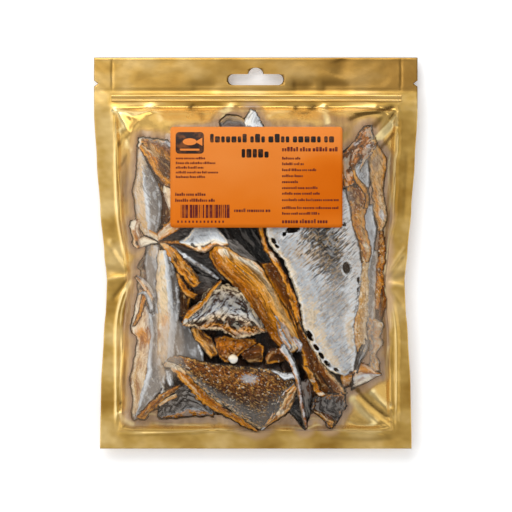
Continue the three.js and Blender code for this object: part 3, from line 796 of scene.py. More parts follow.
makeStrip("left_dark", dict(
    edges=[(-93, 78, -70, 76), (-92, 64, -72, 64), (-90, 50, -74, 50), (-90, 36, -72, 36),
        (-90, 24, -72, 24)], under=(7, 6), crumple=0.9, seed=24,
    look=dict(amberLook, across="umber brown umber", paleAmount=0.15)))
makeStrip("left_bone", dict(
    edges=[(-85, 62, -81, 63), (-85, 56, -77, 58), (-84, 50, -76, 50), (-80, 40, -75, 40)], under=(3, 2.2),
    crumple=0.4, seed=25, look=dict(rimLook, across="bone cream sand", darkAmount=0.2)))
makeStrip("left_amber_top", dict(
    edges=[(-116, 30, -107, 31), (-117, 24, -108, 24), (-114, 16, -107, 16), (-114, 9, -106, 8),
        (-111, 4, -106, 5)], under=(2, 2), crumple=1.0, seed=26, ragged=1.4, rims=(0.8, 0.2),
    look=dict(rimLook, across="cream honey rust wheat", darkAmount=0.7,
        patches=[(0.14, 0.3, 0.2, 0.4, "bone", 0.9), (0.75, 0.5, 0.12, 0.25, "black", 0.9)])))
makeStrip("left_flap", dict(
    edges=[(-108, 13, -107, 5), (-103, 15, -101, 7), (-98, 13, -95, 9), (-92, 11, -91, 9)],
    under=(1.8, 1.5), crumple=0.5, seed=27, look=dict(rimLook, across="wheat bone bone", darkAmount=0.2)))
makeStrip("left_gray", dict(
    edges=[(-101, 8, -89, 8), (-103, -6, -90, -6), (-101, -20, -91, -20), (-100, -34, -92, -34),
        (-98, -48, -89, -50), (-96, -59, -88, -61)], under=(4.4, 4.4), crumple=0.4, crumpleSize=(16, 6),
    seed=27.5,
    look=dict(columnLook, across="ash ash slate", fibre=(7, 1.3, 30),
        patches=[(0.08, 0.6, 0.1, 0.4, "sand", 0.6)])))
makeStrip("left_cream", dict(
    edges=[(-90, 2, -80, 3), (-91, -12, -76, -8), (-92, -28, -72, -28), (-91, -44, -70, -46),
        (-90, -60, -71, -62), (-91, -76, -73, -78), (-91, -92, -75, -94), (-90, -105, -80, -105)],
    under=(3.4, 2.2, 1.8, 3.4), crumple=0.7, seed=28, ridges=[(0.6, 0.06, 1.4)], dip=(1, 2),
    look=dict(columnLook, across=(0, "wheat", 0.2, "cream", 0.44, "cream", 0.5, "snow", 0.64, "silver",
            0.74, "smoke", 1, "slate"),
        acrossEnd=(0, "sand", 0.3, "wheat", 0.55, "wheat", 0.64, "snow", 0.86, "silver", 1, "ash"),
        turn=(0.4, 0.65), wander=0.1, patches=[(0.7, 0.1, 0.05, 0.14, "rust", 0.7),
            (0.64, 0.14, 0.04, 0.08, "bone", 0.9), (0.82, 0.12, 0.05, 0.08, "bone", 0.8),
            (0.6, 0.35, 0.08, 0.2, "honey", 0.45)])))
makeStrip("left_lower", dict(
    edges=[(-99, -56, -90, -56), (-97, -70, -89, -70), (-98, -86, -89, -86), (-100, -100, -87, -100),
        (-101, -110, -84, -108), (-104, -122, -84, -120), (-107, -134, -93, -133), (-110, -146, -102, -142),
        (-112, -154, -109, -151)], under=(2.4, 3, 3.6), ragged=0.8, crumple=0.7, crumpleSize=(10, 4),
    seed=28.5, ridges=[(0.12, 0.08, 1.2)],
    look=dict(columnLook, across=(0, "snow", 0.22, "silver", 0.36, "smoke", 0.6, "ash", 1, "wheat"),
        acrossEnd=(0, "snow", 0.16, "snow", 0.28, "ash", 1, "ash"), turn=(0.4, 0.7), wander=0.1,
        patches=[(0.2, 0.7, 0.06, 0.3, "umber", 0.8), (0.46, 0.14, 0.12, 0.12, "snow", 0.9)])))
makeStrip("left_rim", dict(
    edges=[(-108, -34, -105, -34), (-111, -46, -103, -46), (-113, -58, -98, -58), (-116, -70, -97, -70),
        (-110.5, -79, -97, -80), (-111, -90, -98, -90), (-113, -100, -99, -100), (-116.5, -116, -101, -114),
        (-115, -126, -103, -126), (-113.5, -138, -106, -138), (-115, -148, -109, -148),
        (-113, -155, -110, -154)], under=(3.2, 2.8, 3.2), ragged=1.2, crumple=0.9, crumpleSize=(12, 5),
    seed=29, rims=(0.8, 0),
    look=dict(rimLook, across="bone wheat wheat silver", acrossEnd="cream sand wheat sand",
        fibre=(14, 2, 0), veinAmount=0.3, patches=[(0.34, 0.5, 0.09, 0.6, "honey", 0.9),
            (0.38, 0.4, 0.05, 0.2, "rust", 0.8), (0.3, 0.85, 0.05, 0.16, "rust", 0.8),
            (0.96, 0.4, 0.06, 0.5, "ash", 0.8)])))
makeStrip("left_peel", dict(
    edges=[(-112, -23, -110, -21), (-106, -30, -103, -25), (-100, -38, -97, -32), (-96, -45, -94, -41)],
    under=(2, 1.6), crumple=0.5, seed=29.3, rims=(0.4, 0.6),
    look=dict(rimLook, across="bone honey slate snow")))
makeStrip("left_peel_tip", dict(
    edges=[(-110, -39, -108, -37), (-104, -38, -102, -35), (-100, -45, -96, -42), (-98, -55, -94, -53)],
    under=(1.6, 1.6), crumple=0.5, seed=29.6, look=dict(skinLook, across="snow silver ash")))
makeStrip("left_thread", dict(
    edges=[(-104, -30, -100, -32), (-106, -41, -101, -42), (-108, -50, -103, -51), (-111, -59, -106.5, -60),
        (-114.5, -68, -111.5, -68)], under=(1.8, 1.8), ragged=1.2, crumpleSize=(8, 3), seed=29.8,
    look=dict(amberLook, across="sand amber rust honey", paleAmount=0.2)))
makeStrip("left_dusk", dict(
    edges=[(-103, -2, -100, -2), (-109, -12, -100, -12), (-106, -18, -99, -20), (-110, -30, -101, -30),
        (-107, -42, -103, -42)], under=(4.5, 6), ragged=1.6, crumple=1.0, crumpleSize=(6, 4), seed=30.5,
    look=dict(charLook, across="wheat brown char", fibre=(6, 1.6, -30), rimLight=0, outline=0.2, hair=4,
        patches=[(0.3, 0.8, 0.12, 0.3, "black", 0.9)])))
makeStrip("foot_bone", dict(
    edges=[(-84, -108, -78, -108), (-83, -116, -77, -117), (-80, -123, -76, -123)], under=(3.4, 3.4),
    crumpleSize=(10, 3), seed=30.7, look=dict(skinLook, across="ash snow slate silver")))
makeStrip("foot_chip", dict(
    edges=[(-88, -120, -86, -120), (-88, -126, -84, -126), (-88, -133, -85, -133)], under=(2.6, 2.6),
    seed=30.8, ragged=1,
    look=dict(skinLook, across="snow bone", patches=[(0.5, 0.5, 0.12, 0.9, "umber", 0.9)])))
makeStrip("left_brown", dict(
    edges=[(-74, -60, -62, -60), (-76, -46, -60, -44), (-76, -30, -58, -28), (-76, -14, -62, -12)],
    under=(8.5, 8), crumple=1.0, seed=30,
    look=dict(amberLook, across="slate brown umber", paleAmount=0.25)))
makeStrip("left_amber", dict(
    edges=[(-89, 10, -83, 9), (-83, -1, -75, 5), (-76, -11, -67, -4), (-69, -21, -60, -12),
        (-61, -29, -53, -23), (-56, -32, -50, -28)], under=(3, 2.4, 3.4), ragged=1.4, rims=(0.8, 0.4),
    crumple=1.2, crumpleSize=(12, 3), seed=31, sharp=0.6,
    look=dict(amberLook, across="honey amber honey rust", fibre=(20, 1.6, 0), patches=[
            (0.06, 0.5, 0.08, 0.7, "cream", 0.8), (0.36, 0.3, 0.05, 0.3, "char", 0.8),
            (0.62, 0.75, 0.12, 0.14, "char", 0.8), (0.8, 0.3, 0.1, 0.2, "char", 0.7)])))
makeStrip("inner_gray", dict(
    edges=[(-80.5, 5, -77.5, 8), (-71, -3, -67, 1), (-60, -9, -57, -5), (-50, -16, -47, -12),
        (-42, -21, -39, -18), (-35, -25, -33, -23)], under=(4.2, 3.6, 4.2), crumple=0.7, crumpleSize=(9, 3),
    seed=32, ragged=1.1,
    look=dict(skinLook, across="slate ash silver slate", fibre=(14, 1.2, 0), rimLight=0.1, paleAmount=0.2,
        patches=[(0.25, 0.5, 0.06, 0.5, "snow", 0.9), (0.5, 0.5, 0.05, 0.5, "umber", 0.7),
            (0.8, 0.5, 0.05, 0.5, "umber", 0.7)])))
makeStrip("inner_brown", dict(
    edges=[(-74, -18, -70, -18), (-72, -29, -66, -27), (-66, -38, -60, -34), (-57, -43, -53, -38)],
    under=(5, 5), rims=(1.0, 0), crumple=1.0, crumpleSize=(9, 3), seed=33, ragged=1.3,
    look=dict(amberLook, across="honey amber brown", darkAmount=0.8)))
makeStrip("inner_char", dict(
    edges=[(-78, 8, -74, -4), (-66, 8, -62, -12), (-52, 6, -50, -20), (-42, 6, -38, -24),
        (-36, -4, -28, -26)], under=(8, 8), seed=34, look=dict(charLook, across="brown smoke char char")))
makeStrip("inner_dusk", dict(
    edges=[(-62, -22, -56, -46), (-48, -18, -44, -40), (-34, -22, -34, -34)], under=(9, 9), seed=35,
    look=dict(charLook, across="slate smoke brown", paleAmount=0.2)))
makeStrip("smooth_gray", dict(
    edges=[(-76, -60, -64, -66), (-76, -80, -54, -78), (-74, -92, -48, -96), (-70, -104, -52, -106)],
    under=(5, 6), crumple=0.2, crumpleSize=(20, 16), seed=36,
    look=dict(skinLook, across="ash slate slate", paleAmount=0.15, darkAmount=0.1, grooves=0.1, pitAmount=0,
        glintAmount=0)))
makeStrip("foot_char", dict(
    edges=[(-91, -148, -90, -154), (-87, -139, -80, -153), (-77, -130, -68, -152), (-66, -122, -55, -151),
        (-54, -130, -42, -151), (-44, -143, -35, -149)], under=(4.4, 4, 4.4), ragged=1.8, crumple=1.2,
    crumpleSize=(8, 5), seed=37, sharp=0.8,
    look=dict(charLook,
        across=(0, "smoke", 0.5, "smoke", 0.7, "ash", 0.78, "silver", 0.86, "honey", 1, "amber"),
        fibre=(9, 1.4, 10), crestAmount=0.8, creaseShadeAmount=0.8)))
makeStrip("foot_amber", dict(
    edges=[(-70, -121, -69, -123), (-82, -126, -79, -131), (-93, -134, -88, -139.6),
        (-104, -144, -98, -149), (-112, -152, -103, -156)], under=(2.6, 2.2), crumple=1.2,
    crumpleSize=(9, 4), seed=38, ragged=1.6, sharp=0.6,
    look=dict(amberLook, across="rust amber brown honey", fibre=(16, 1.6, 0))))
makeStrip("foot_thread", dict(
    edges=[(-90, -140, -89, -142), (-82, -134, -81, -137), (-74, -130, -73, -133)], under=(1.6, 1.6),
    crumple=0.3, seed=39, look=dict(rimLook, across="cream honey")))

# the right side
makeStrip("right_peak", dict(
    edges=[(100, 117, 107, 119), (94, 109, 109, 108), (86, 98, 112, 100), (79, 88, 107, 92),
        (79, 74, 98, 78), (80, 60, 92, 63)], under=(2.2, 1.8, 2.4), ragged=1.6, rims=(0.4, 0.6),
    crumple=1.4, crumpleSize=(20, 9), seed=39.5, sharp=0.9,
    look=dict(amberLook, across="amber rust amber rust ash", paleAmount=0.3, fibre=(12, 2, 20), blotch=6,
        pitAmount=0.15, glintAmount=0.4, swirl=1, creaseShadeAmount=0.9, speck=2.8, pale="bone", crestAmount=0.3,
        patches=[(0.24, 0.85, 0.1, 0.16, "char", 0.8), (0.06, 0.4, 0.08, 0.5, "brown", 0.7),
            (0.78, 0.6, 0.06, 0.4, "char", 0.7), (0.42, 0.7, 0.06, 0.1, "snow", 0.8),
            (0.34, 0.2, 0.06, 0.14, "snow", 0.6), (0.6, 0.2, 0.1, 0.2, "umber", 0.7)])))
makeStrip("right_patch", dict(
    edges=[(98, 87, 103, 87), (92, 81, 104, 80), (90.5, 74, 105, 72), (95, 66, 105, 65),
        (100, 60, 104, 60)], under=(1.4, 1.4), ragged=0.8, crumple=0.5, seed=39.7,
    look=dict(skinLook, across="silver silver snow", grain="object", fibre=(6, 1.6, 60), hair=4,
        patches=[(0.14, 0.15, 0.16, 0.34, "black", 0.95), (0.5, 0.7, 0.2, 0.2, "slate", 0.5)])))
makeStrip("right_curl", dict(
    edges=[(88, 77, 91, 78), (91, 66, 95, 69), (98, 57, 103, 60), (101, 49, 105, 50), (99, 41, 104, 41)],
    under=(1.2, 1.2), ragged=0.8, crumple=0.6, seed=39.8, rims=(0.3, 0.5),
    look=dict(amberLook, across="rust honey sand honey")))
makeStrip("right_top", dict(
    edges=[(82, 64, 99, 60), (84, 52, 103, 50), (87, 42, 103, 42), (88, 30, 101, 30), (91, 20, 103, 20),
        (95, 10, 106, 10), (97, 0, 107, 0), (98, -9, 105, -9)], under=(2.4, 2, 2.4), ragged=1.1,
    rims=(0.4, 0.7), crumple=1.2, crumpleSize=(12, 4), seed=40, sharp=0.6,
    ridges=[(0.25, 0.08, 0.8), (0.72, 0.08, 0.9)],
    look=dict(amberLook, across="ash brown rust amber", acrossEnd="honey amber sand honey",
        turn=(0.15, 0.4), fibre=(10, 2, 25), blotch=6, pitAmount=0.2, glintAmount=0.5, swirl=1,
        patches=[(0.78, 0.6, 0.07, 0.3, "bone", 0.8), (0.4, 0.5, 0.1, 0.3, "honey", 0.7)])))
makeStrip("right_outer", dict(
    edges=[(103, 108, 110, 107), (104, 97, 114, 98), (105, 86, 121, 88), (106, 74, 120, 74),
        (107, 62, 118, 60), (108, 52, 119, 50), (109, 42, 121.5, 40), (111, 32, 121, 30),
        (113, 21, 117, 20)], under=(4, 3, 3.2), ragged=1.0, rims=(0, 0.9), crumple=1.1, crumpleSize=(9, 4),
    seed=41, sharp=0.6,
    look=dict(rimLook, across="sand straw sand honey", dark="brown", paleAmount=0.4,
        acrossEnd="sand honey cream sand", darkAmount=0.6, fibre=(9, 2, 20), turn=(0.4, 0.65),
        veinAmount=0.4, pale="wheat", rim="honey", patches=[(0.1, 0.5, 0.06, 0.3, "silver", 0.7),
            (0.3, 0.4, 0.1, 0.3, "ash", 0.5), (0.82, 0.6, 0.07, 0.3, "snow", 0.8)])))
makeStrip("right_silver", dict(
    edges=[(100, 43, 108, 45), (99, 32, 110, 30), (101, 20, 112, 22), (103, 8, 110, 8), (104, -4, 108, -5),
        (103, -15, 106, -15)], under=(4, 3.6), crumple=0.3, seed=42,
    look=dict(skinLook, across="silver silver snow", speck=2.6, pitAmount=0.2, darkAmount=0.3,
        patches=[(0.45, 0.95, 0.2, 0.1, "smoke", 0.8)])))
makeStrip("right_column", dict(
    edges=[(98, -2, 106, -2), (98, -16, 104, -16), (96, -30, 105, -30), (94, -44, 104, -44),
        (92, -56, 104, -56), (90, -68, 102, -68), (91, -80, 103, -80), (94, -91, 100, -92)],
    under=(3.4, 2.6, 3), ragged=1.3, crumple=1.1, crumpleSize=(7, 4), seed=43, sharp=0.4,
    look=dict(columnLook, across="sand straw sand cream", dark="brown", acrossEnd="honey straw sand cream",
        veinAmount=0.35, darkAmount=0.4, speck=2.4, glintAmount=0.9, pale="bone")))
makeStrip("right_mid", dict(
    edges=[(104, 0, 113, 2), (103, -14, 113, -14), (103, -30, 111.6, -30), (102, -46, 111, -46),
        (102, -58, 110, -60), (103, -67, 108, -68)], under=(5, 4.2), crumple=0.6, crumpleSize=(10, 4),
    seed=43.5, look=dict(columnLook, across="silver ash ash wheat", fibre=(12, 2, 60), darkAmount=0.25)))
makeStrip("right_amber", dict(
    edges=[(115, 20, 118.5, 20), (113.6, 8, 120, 8), (113.4, -4, 120.4, -4), (111.6, -16, 118.6, -17),
        (111.4, -29, 119, -30), (110.6, -40, 116.4, -41), (110.8, -52, 114.4, -53)], under=(3.4, 2.8),
    ragged=1.7, crumple=1.3, crumpleSize=(5, 4), seed=44, sharp=0.5,
    look=dict(amberLook, across="amber honey amber rust", pitAmount=0.6, glintAmount=1, speck=2.4,
        outline=0.4, fibre=(5, 2, 0), patches=[(0.2, 0.3, 0.06, 0.4, "brown", 0.8),
            (0.5, 0.4, 0.05, 0.5, "brown", 0.8), (0.36, 0.5, 0.05, 0.3, "cream", 0.8),
            (0.8, 0.4, 0.05, 0.5, "straw", 0.8)])))
makeStrip("right_glow", dict(
    edges=[(113, -32, 118, -30), (112.6, -42, 120.6, -42), (112, -52, 119.4, -52), (113, -62, 117, -63)],
    under=(4.6, 4), ragged=1.4, seed=44.5,
    look=dict(amberLook, across="umber brown rust", paleAmount=0.1, outline=0.2, rimLight=0.2)))
makeStrip("right_gray", dict(
    edges=[(104, -58, 110, -60), (104, -68, 117.4, -66), (103, -76, 115, -76), (105, -84, 118, -82),
        (106, -91, 112, -92), (106, -99, 113.4, -100), (105, -107, 115, -110)], under=(4.4, 3.6),
    crumple=0.9, crumpleSize=(9, 6), seed=45, rims=(0, 0.8), ragged=1.8, sharp=0.5,
    look=dict(rimLook, across="ash ash wheat ash", veinAmount=0.6, vein="honey", darkAmount=0.25,
        fibre=(8, 3, 20), swirl=2, pitAmount=0.1, outline=0.2, rim="straw", rimLight=0.9,
        patches=[(0.16, 0.8, 0.05, 0.3, "bone", 0.9), (0.55, 0.5, 0.06, 0.2, "honey", 0.7),
            (0.4, 0.3, 0.1, 0.3, "slate", 0.5), (0.8, 0.4, 0.1, 0.3, "slate", 0.5)])))
makeStrip("right_flap", dict(
    edges=[(90, -104, 90, -124), (97, -101, 98, -121), (104, -104, 105, -118), (110, -109, 110, -115),
        (116, -111.5, 116, -113)], under=(3.4, 2.6, 2.2), ragged=0.8, rims=(0, 0.6), crumple=0.7, seed=46,
    look=dict(rimLook, across=(0, "rust", 0.3, "honey", 0.5, "rust", 0.6, "snow", 1, "bone"),
        darkAmount=0.3, wander=0.15)))
makeStrip("right_dusk", dict(
    edges=[(102, -77, 105, -80), (96, -88, 103, -90), (91.5, -100, 97, -102), (90, -112, 94, -112),
        (88, -127, 91, -125)], under=(2.6, 2.4), crumple=0.6, seed=47,
    look=dict(charLook, across="smoke slate ash", fibre=(14, 1.6, 0), acrossEnd="black char slate",
        turn=(0.2, 0.5), patches=[(0.3, 0.7, 0.2, 0.2, "silver", 0.7)])))
makeStrip("foot_corner", dict(
    edges=[(78, -108, 80, -124), (86, -110, 86, -122), (92, -108, 90, -118)], under=(5, 5), crumple=0.9,
    seed=48, look=dict(rimLook, across="rust honey brown")))

# under and beside the label
makeStrip("top_tip", dict(
    edges=[(-5, 133, -1, 132), (-9, 125, 4, 124), (-12, 117, 8, 114)], under=(2, 1.6), crumple=0.6, seed=49,
    ragged=1.2, look=dict(skinLook, across="bone snow silver")))
makeStrip("top_brown", dict(
    edges=[(-34, 122, -32, 114), (-26, 128, -24, 114), (-16, 127, -14, 114), (-9, 122, -8, 114)],
    under=(2.4, 2), crumple=0.9, seed=50, look=dict(charLook, across="sand slate brown")))
# Deep under the middle pieces, coloured near black as painted shade for the gaps between them.
makeStrip("middle_black", dict(
    edges=[(-46, 30, 4, 32), (-34, 14, 8, 10), (-24, 2, 16, -8), (-2, -8, 28, -26), (10, -26, 34, -44)],
    under=(10, 9), crumple=1.0, crumpleSize=(20, 5), seed=51,
    look=dict(charLook, across="smoke char black black", paleAmount=0.12)))
makeStrip("middle_gray", dict(
    edges=[(-34, 13, -18, 13), (-24, 2, -8, 3), (-12, -7, 2, -7)], under=(7.5, 7), crumple=0.5, seed=52,
    look=dict(charLook, across="slate ash slate", fibre=(14, 1.6, 0))))
makeStrip("middle_brown", dict(
    edges=[(4, -9, 20, -8), (10, -22, 28, -24), (19, -38, 34, -42), (30, -54, 38, -56)], under=(7.5, 7.5),
    crumple=0.3, crumpleSize=(20, 9), seed=53,
    look=dict(amberLook, across="rust brown rust umber", acrossEnd="amber rust brown", darkAmount=0.3,
        paleAmount=0.1, fibre=(24, 3, 0))))
makeStrip("label_left", dict(
    edges=[(-72, 112, -18, 112), (-70, 84, -10, 82), (-66, 54, -4, 52), (-60, 28, 0, 26)], under=(5, 4),
    crumple=1.0, seed=54, cell=1.6, look=dict(amberLook, across="amber brown slate brown")))
makeStrip("label_right", dict(
    edges=[(0, 110, 70, 110), (4, 84, 76, 82), (8, 66, 80, 64), (12, 50, 84, 50)], under=(4.4, 4.4),
    crumple=1.0, seed=55, cell=1.6, look=dict(skinLook, across="ash brown slate ash")))
print("collarbones made")


# The bed: more collarbones deeper down, coloured near black as painted shade, so that they show dark in
# the gaps and at the pouch's sides. Each has three rows of edges and how deep it lies.
bed = {
    "bed_1": (-104, 78, -58, 100, -100, 0, -46, -10, -102, -80, -40, -86, 13),
    "bed_2": (-56, 112, 8, 110, -50, 20, 12, 10, -44, -70, 16, -76, 15),
    "bed_3": (6, 108, 64, 112, 12, 10, 66, 4, 18, -80, 72, -88, 14),
    "bed_4": (60, 106, 108, 94, 58, 10, 106, 6, 62, -70, 104, -72, 14),
    "bed_5": (-104, -60, -50, -70, -102, -110, -44, -112, -92, -142, -50, -148, 13),
    "bed_6": (-52, -66, 20, -62, -48, -108, 24, -110, -40, -144, 30, -150, 15),
    "bed_7": (18, -66, 84, -60, 24, -110, 86, -108, 30, -150, 70, -142, 14),
    "bed_8": (-104, 84, 0, 104, -102, -20, 10, -30, -96, -134, 6, -146, 26),
    "bed_9": (-6, 106, 104, 92, -8, -20, 104, -26, 4, -146, 84, -120, 27),
    "bed_10": (-98, 88, 100, 88, -98, -30, 98, -30, -92, -132, 88, -130, 40),
}
# Near-black colours: painted shade for the gaps.
bedShadeLook = dict(across="umber char umber char umber", dark="black", pale="brown", darkAmount=0.7,
    paleAmount=0.4, rough=0.5, coat=0.1, fibre=(26, 3, 0), glintAmount=0.05)
for index, (bedName, values) in enumerate(bed.items()):
    makeStrip(bedName, dict(edges=[values[0:4], values[4:8], values[8:12]], under=(values[12],) * 2,
        ragged=3, crumple=2.2, crumpleSize=(30, 12), cell=2.2, seed=60 + index, loose=1, thickness=3,
        look=bedShadeLook))
print("bed made")


# The gold foil is a flat rim and, under the window, a shallow tray. Creases are pressed into foil and
# film, in millimetres: points along one, its width and its height.
creases = [
    # left side
    ([(-129, 124), (-129.5, 90), (-129, 60), (-127, 30), (-122, 4), (-115, -19)], 1.7, 1.1),
    ([(-125.5, 84), (-124, 62), (-125.5, 42), (-122, 22), (-117, 0), (-114.5, -18)], 1.5, 0.8),
    ([(-121, 60), (-121.5, 40), (-118.5, 22), (-115, 4)], 1.5, 0.6),
    ([(-127.5, 96), (-119, 109), (-108, 124)], 3.4, -1.3),
    ([(-128, 116), (-120, 104), (-113, 90)], 3.6, 1.5),
    ([(-127, 76), (-121, 84), (-116, 96)], 2.6, -0.8),
    ([(-137, 14), (-127, -2), (-116, -18)], 3.2, 1.0),
    ([(-135, 6), (-126, -8), (-116, -19)], 2.4, -0.9),
    ([(-145, -12), (-130, -16.5), (-115, -20.5)], 4.6, -1.0),
    ([(-142, -27), (-128, -24), (-116, -22)], 3.2, 0.8),
    ([(-133, -44), (-124, -33), (-116, -23)], 2.6, -0.8),
    ([(-115, -23), (-119, -38), (-123.5, -54), (-125, -72)], 1.8, 1.2),
    ([(-114, -24), (-116.5, -42), (-119, -60)], 1.5, 0.7),
    ([(-117, -26), (-124, -42), (-128.5, -64), (-129, -100), (-129, -140), (-129, -162)], 1.7, 1.1),
    ([(-124, -76), (-123.5, -96), (-125, -120), (-126.5, -142)], 1.5, 0.8),
    ([(-119, -96), (-120.5, -118), (-119, -136)], 1.8, -0.7),
    ([(-127, -146), (-121, -156), (-110, -162)], 3.6, 1.5),
    ([(-126, -138), (-122, -145), (-119, -150)], 2.6, -0.9),
    # foot
    ([(-126, -168), (-90, -167.4), (-60, -166.2), (-38, -164.2), (-12, -167), (30, -168)], 1.4, 0.9),
    ([(-100, -158), (-74, -160), (-50, -161), (-37, -162.6)], 1.7, 0.8),
    ([(-112, -154), (-96, -150), (-84, -157)], 2.2, 0.8),
    ([(-20, -160), (-4, -163), (14, -159)], 1.8, -0.7),
    ([(18, -163), (32, -162.5), (47, -164), (58, -160), (64, -163)], 1.6, 0.9),
    ([(40, -157), (56, -154), (74, -158)], 2.0, 0.7),
    ([(66, -166), (96, -165.5), (124, -167.5)], 1.5, 0.8),
    ([(84, -156), (98, -161), (112, -160)], 1.9, 0.8),
    # right side
    ([(132, 126), (132, 96), (130, 84), (129.5, 60), (128.5, 44), (128.5, 28)], 1.8, 1.1),
    ([(126, 96), (124, 76), (125.5, 54), (124, 34)], 1.6, 0.8),
    ([(108, 100), (116, 110), (124, 128)], 3.8, 1.5),
    ([(114, 92), (122, 102), (130, 112)], 3.2, -1.1),
    ([(128, 30), (124, 10), (122, -4), (119.5, -24)], 1.5, 0.9),
    ([(121, 26), (119, 8), (117.5, -8)], 1.4, 0.6),
    ([(141, 8), (131, -8), (120, -24)], 3.0, 0.7),
    ([(139, -2), (130, -14), (121, -25)], 2.4, -0.6),
    ([(148, -19), (134, -23), (119, -26.5)], 4.8, -0.9),
    ([(145, -34), (132, -31), (121, -28)], 3.2, 0.8),
    ([(138, -52), (129, -40), (121, -29)], 2.6, -0.8),
    ([(119.5, -29), (122.5, -44), (125, -58), (126.5, -76)], 1.7, 1.1),
    ([(121, -31), (126.5, -46), (130.5, -72), (131, -110), (131, -164)], 1.7, 1.1),
    ([(124.5, -84), (122.5, -100), (124, -122)], 1.8, 0.8),
    ([(92, -124), (105, -139), (127, -157)], 2.6, -2.2),
    ([(87, -131), (100, -148), (116, -162)], 4.4, 2.0),
    ([(106, -126), (117, -138), (128, -146)], 4.0, 1.9),
    # header side
    ([(-133, 131), (-100, 130.6), (-40, 130.4), (40, 130.6), (100, 130.8), (133, 130)], 1.6, 0.7),
    ([(-133, 135), (-124, 124), (-116, 108)], 3.0, 2.0),
    ([(-129, 132), (-112, 127), (-96, 134)], 3.2, 1.7),
    ([(-102, 137), (-91, 130), (-84, 119)], 4.0, 1.5),
    ([(-62, 137), (-51, 130), (-46, 120)], 4.0, -1.3),
    ([(-18, 138), (-26, 130), (-29, 121)], 4.2, 1.4),
    ([(10, 124), (22, 129), (34, 127)], 3.6, 1.2),
    ([(34, 134), (47, 130), (60, 136)], 4.0, -1.6),
    ([(60, 138), (66, 128), (69, 116)], 4.2, 1.9),
    ([(84, 121), (100, 127), (118, 131), (132, 135)], 2.8, -1.7),
    ([(80, 131), (98, 133), (116, 134)], 3.4, 1.2),
    ([(109, 114), (117, 121), (125, 128)], 5, -1.6),
    ([(110, 107), (121, 119), (131, 132)], 1.6, -1.0),
    ([(115, 102), (123, 111), (130, 121)], 4.6, 2.3),
    ([(-145, 150.7), (0, 150.7), (145, 150.7)], 0.8, -0.5),
    ([(32, 155), (44, 153.6), (54, 155)], 6, -1.3),
    ([(60, 153.6), (70, 155), (92, 153.8)], 6, -1.3),
    ([(-60, 154), (-46, 155), (-36, 154)], 6, -0.9),
    ([(76, 162), (80, 172), (78, 181)], 9, -1.0),
    ([(141, 96), (139, 62), (137, 28)], 3.5, -0.6),
    ([(66, -172.5), (100, -175), (134, -173)], 4, -0.8),
    ([(-133, 151), (-133.4, 166), (-133, 182)], 0.9, -0.5),
    ([(134.6, 151), (135, 166), (134.6, 182)], 0.9, -0.5),
]


creaseEnd = {"reach": 0.15, "height": 0.25}


# How far the creases lift each place. A crease runs out at its ends.
def creaseHeight(x, y):
    height = np.zeros_like(x)
    for points, width, lift in creases:
        line = curveThrough(np.array(points) * mm, 8 * len(points))
        nearest = np.full_like(x, 1.0)
        spot = np.zeros_like(x)
        for index, (a, b) in enumerate(zip(line[:-1], line[1:])):
            way = b - a
            along = np.clip(((x - a[0]) * way[0] + (y - a[1]) * way[1]) / (way @ way), 0, 1)
            away = np.hypot(x - a[0] - along * way[0], y - a[1] - along * way[1])
            closer = away < nearest
            nearest = np.where(closer, away, nearest)
            spot = np.where(closer, (index + along) / (len(line) - 1), spot)
        fade = smooth(spot / creaseEnd["reach"]) * smooth((1 - spot) / creaseEnd["reach"])
        fade = fade * (1 - creaseEnd["height"]) + creaseEnd["height"]
        height += lift * mm * fade * np.exp(-(nearest / (width * mm)) ** 2)
    return height


# Painted light of the folds: the step and scales that turn crease height and slope into a fold value, and
# where painted shade in the dips and painted highlights on the crests start and are full, how strong they
# are and their colours.
foldLightPaint = {"step": 0.7 * mm, "height": 7 * mm, "slope": 3.4 * mm,
            "dip": (0.47, 0.12), "dipAmount": 0.85, "dipPaint": paint(98, 68, 22),
            "crest": (0.55, 0.9), "crestAmount": 0.8, "crestPaint": paint(255, 232, 168)}


# How light a fold is painted: a painted highlight on its crest and on the side toward the key light at the
# upper left, painted shade in its dip and behind it.
def paintedFoldShade(x, y):
    step = foldLightPaint["step"]
    slope = creaseHeight(x + step, y - step) - creaseHeight(x - step, y + step)
    return np.clip(0.5 + creaseHeight(x, y) / foldLightPaint["height"] + slope / foldLightPaint["slope"], 0, 1)


# A colour with the painted highlights and painted shade of the folds over it.
def withPaintedFoldLight(gold):
    fold = attribute(gold.tree, "fold")
    for part in ("dip", "crest"):
        share = between(fold, *foldLightPaint[part]) * foldLightPaint[part + "Amount"]
        gold = mixed(share, gold, foldLightPaint[part + "Paint"])
    return gold


border = {"wander": 1.2 * mm, "size": 26 * mm}


# How far a place is from the nearest piece of the contents, seen from above. The border wanders a bit.
def contentsAway(x, y, wander=border["wander"]):
    tree = kdtree.KDTree(len(contents))
    for index, (pieceX, pieceY) in enumerate(contents):
        tree.insert((pieceX, pieceY, 0), index)
    tree.balance()
    away = np.array([tree.find((spotX, spotY, 0))[2] for spotX, spotY in zip(x, y)])
    return away + roughness(x, y, border["size"], 4.1, 2) * wander


foil = {"thickness": 0.6 * mm, "ripple": 0.55 * mm, "rippleSize": 44 * mm, "fineRipple": 0.22 * mm,
        "fineSize": 13 * mm, "sealX": 130 * mm, "sealFade": 6 * mm, "sealCalm": 0.7, "ribHeight": 0.5 * mm,
        "ribInset": 1 * mm, "ribWidth": 1.6 * mm, "knurl": 24 * mm, "fadeWidth": 3.5,
        "nearFrom": 4 * mm, "nearFade": 6 * mm, "knurlX": 131 * mm, "knurlFoot": -165 * mm,
        "knurlFade": 3 * mm}


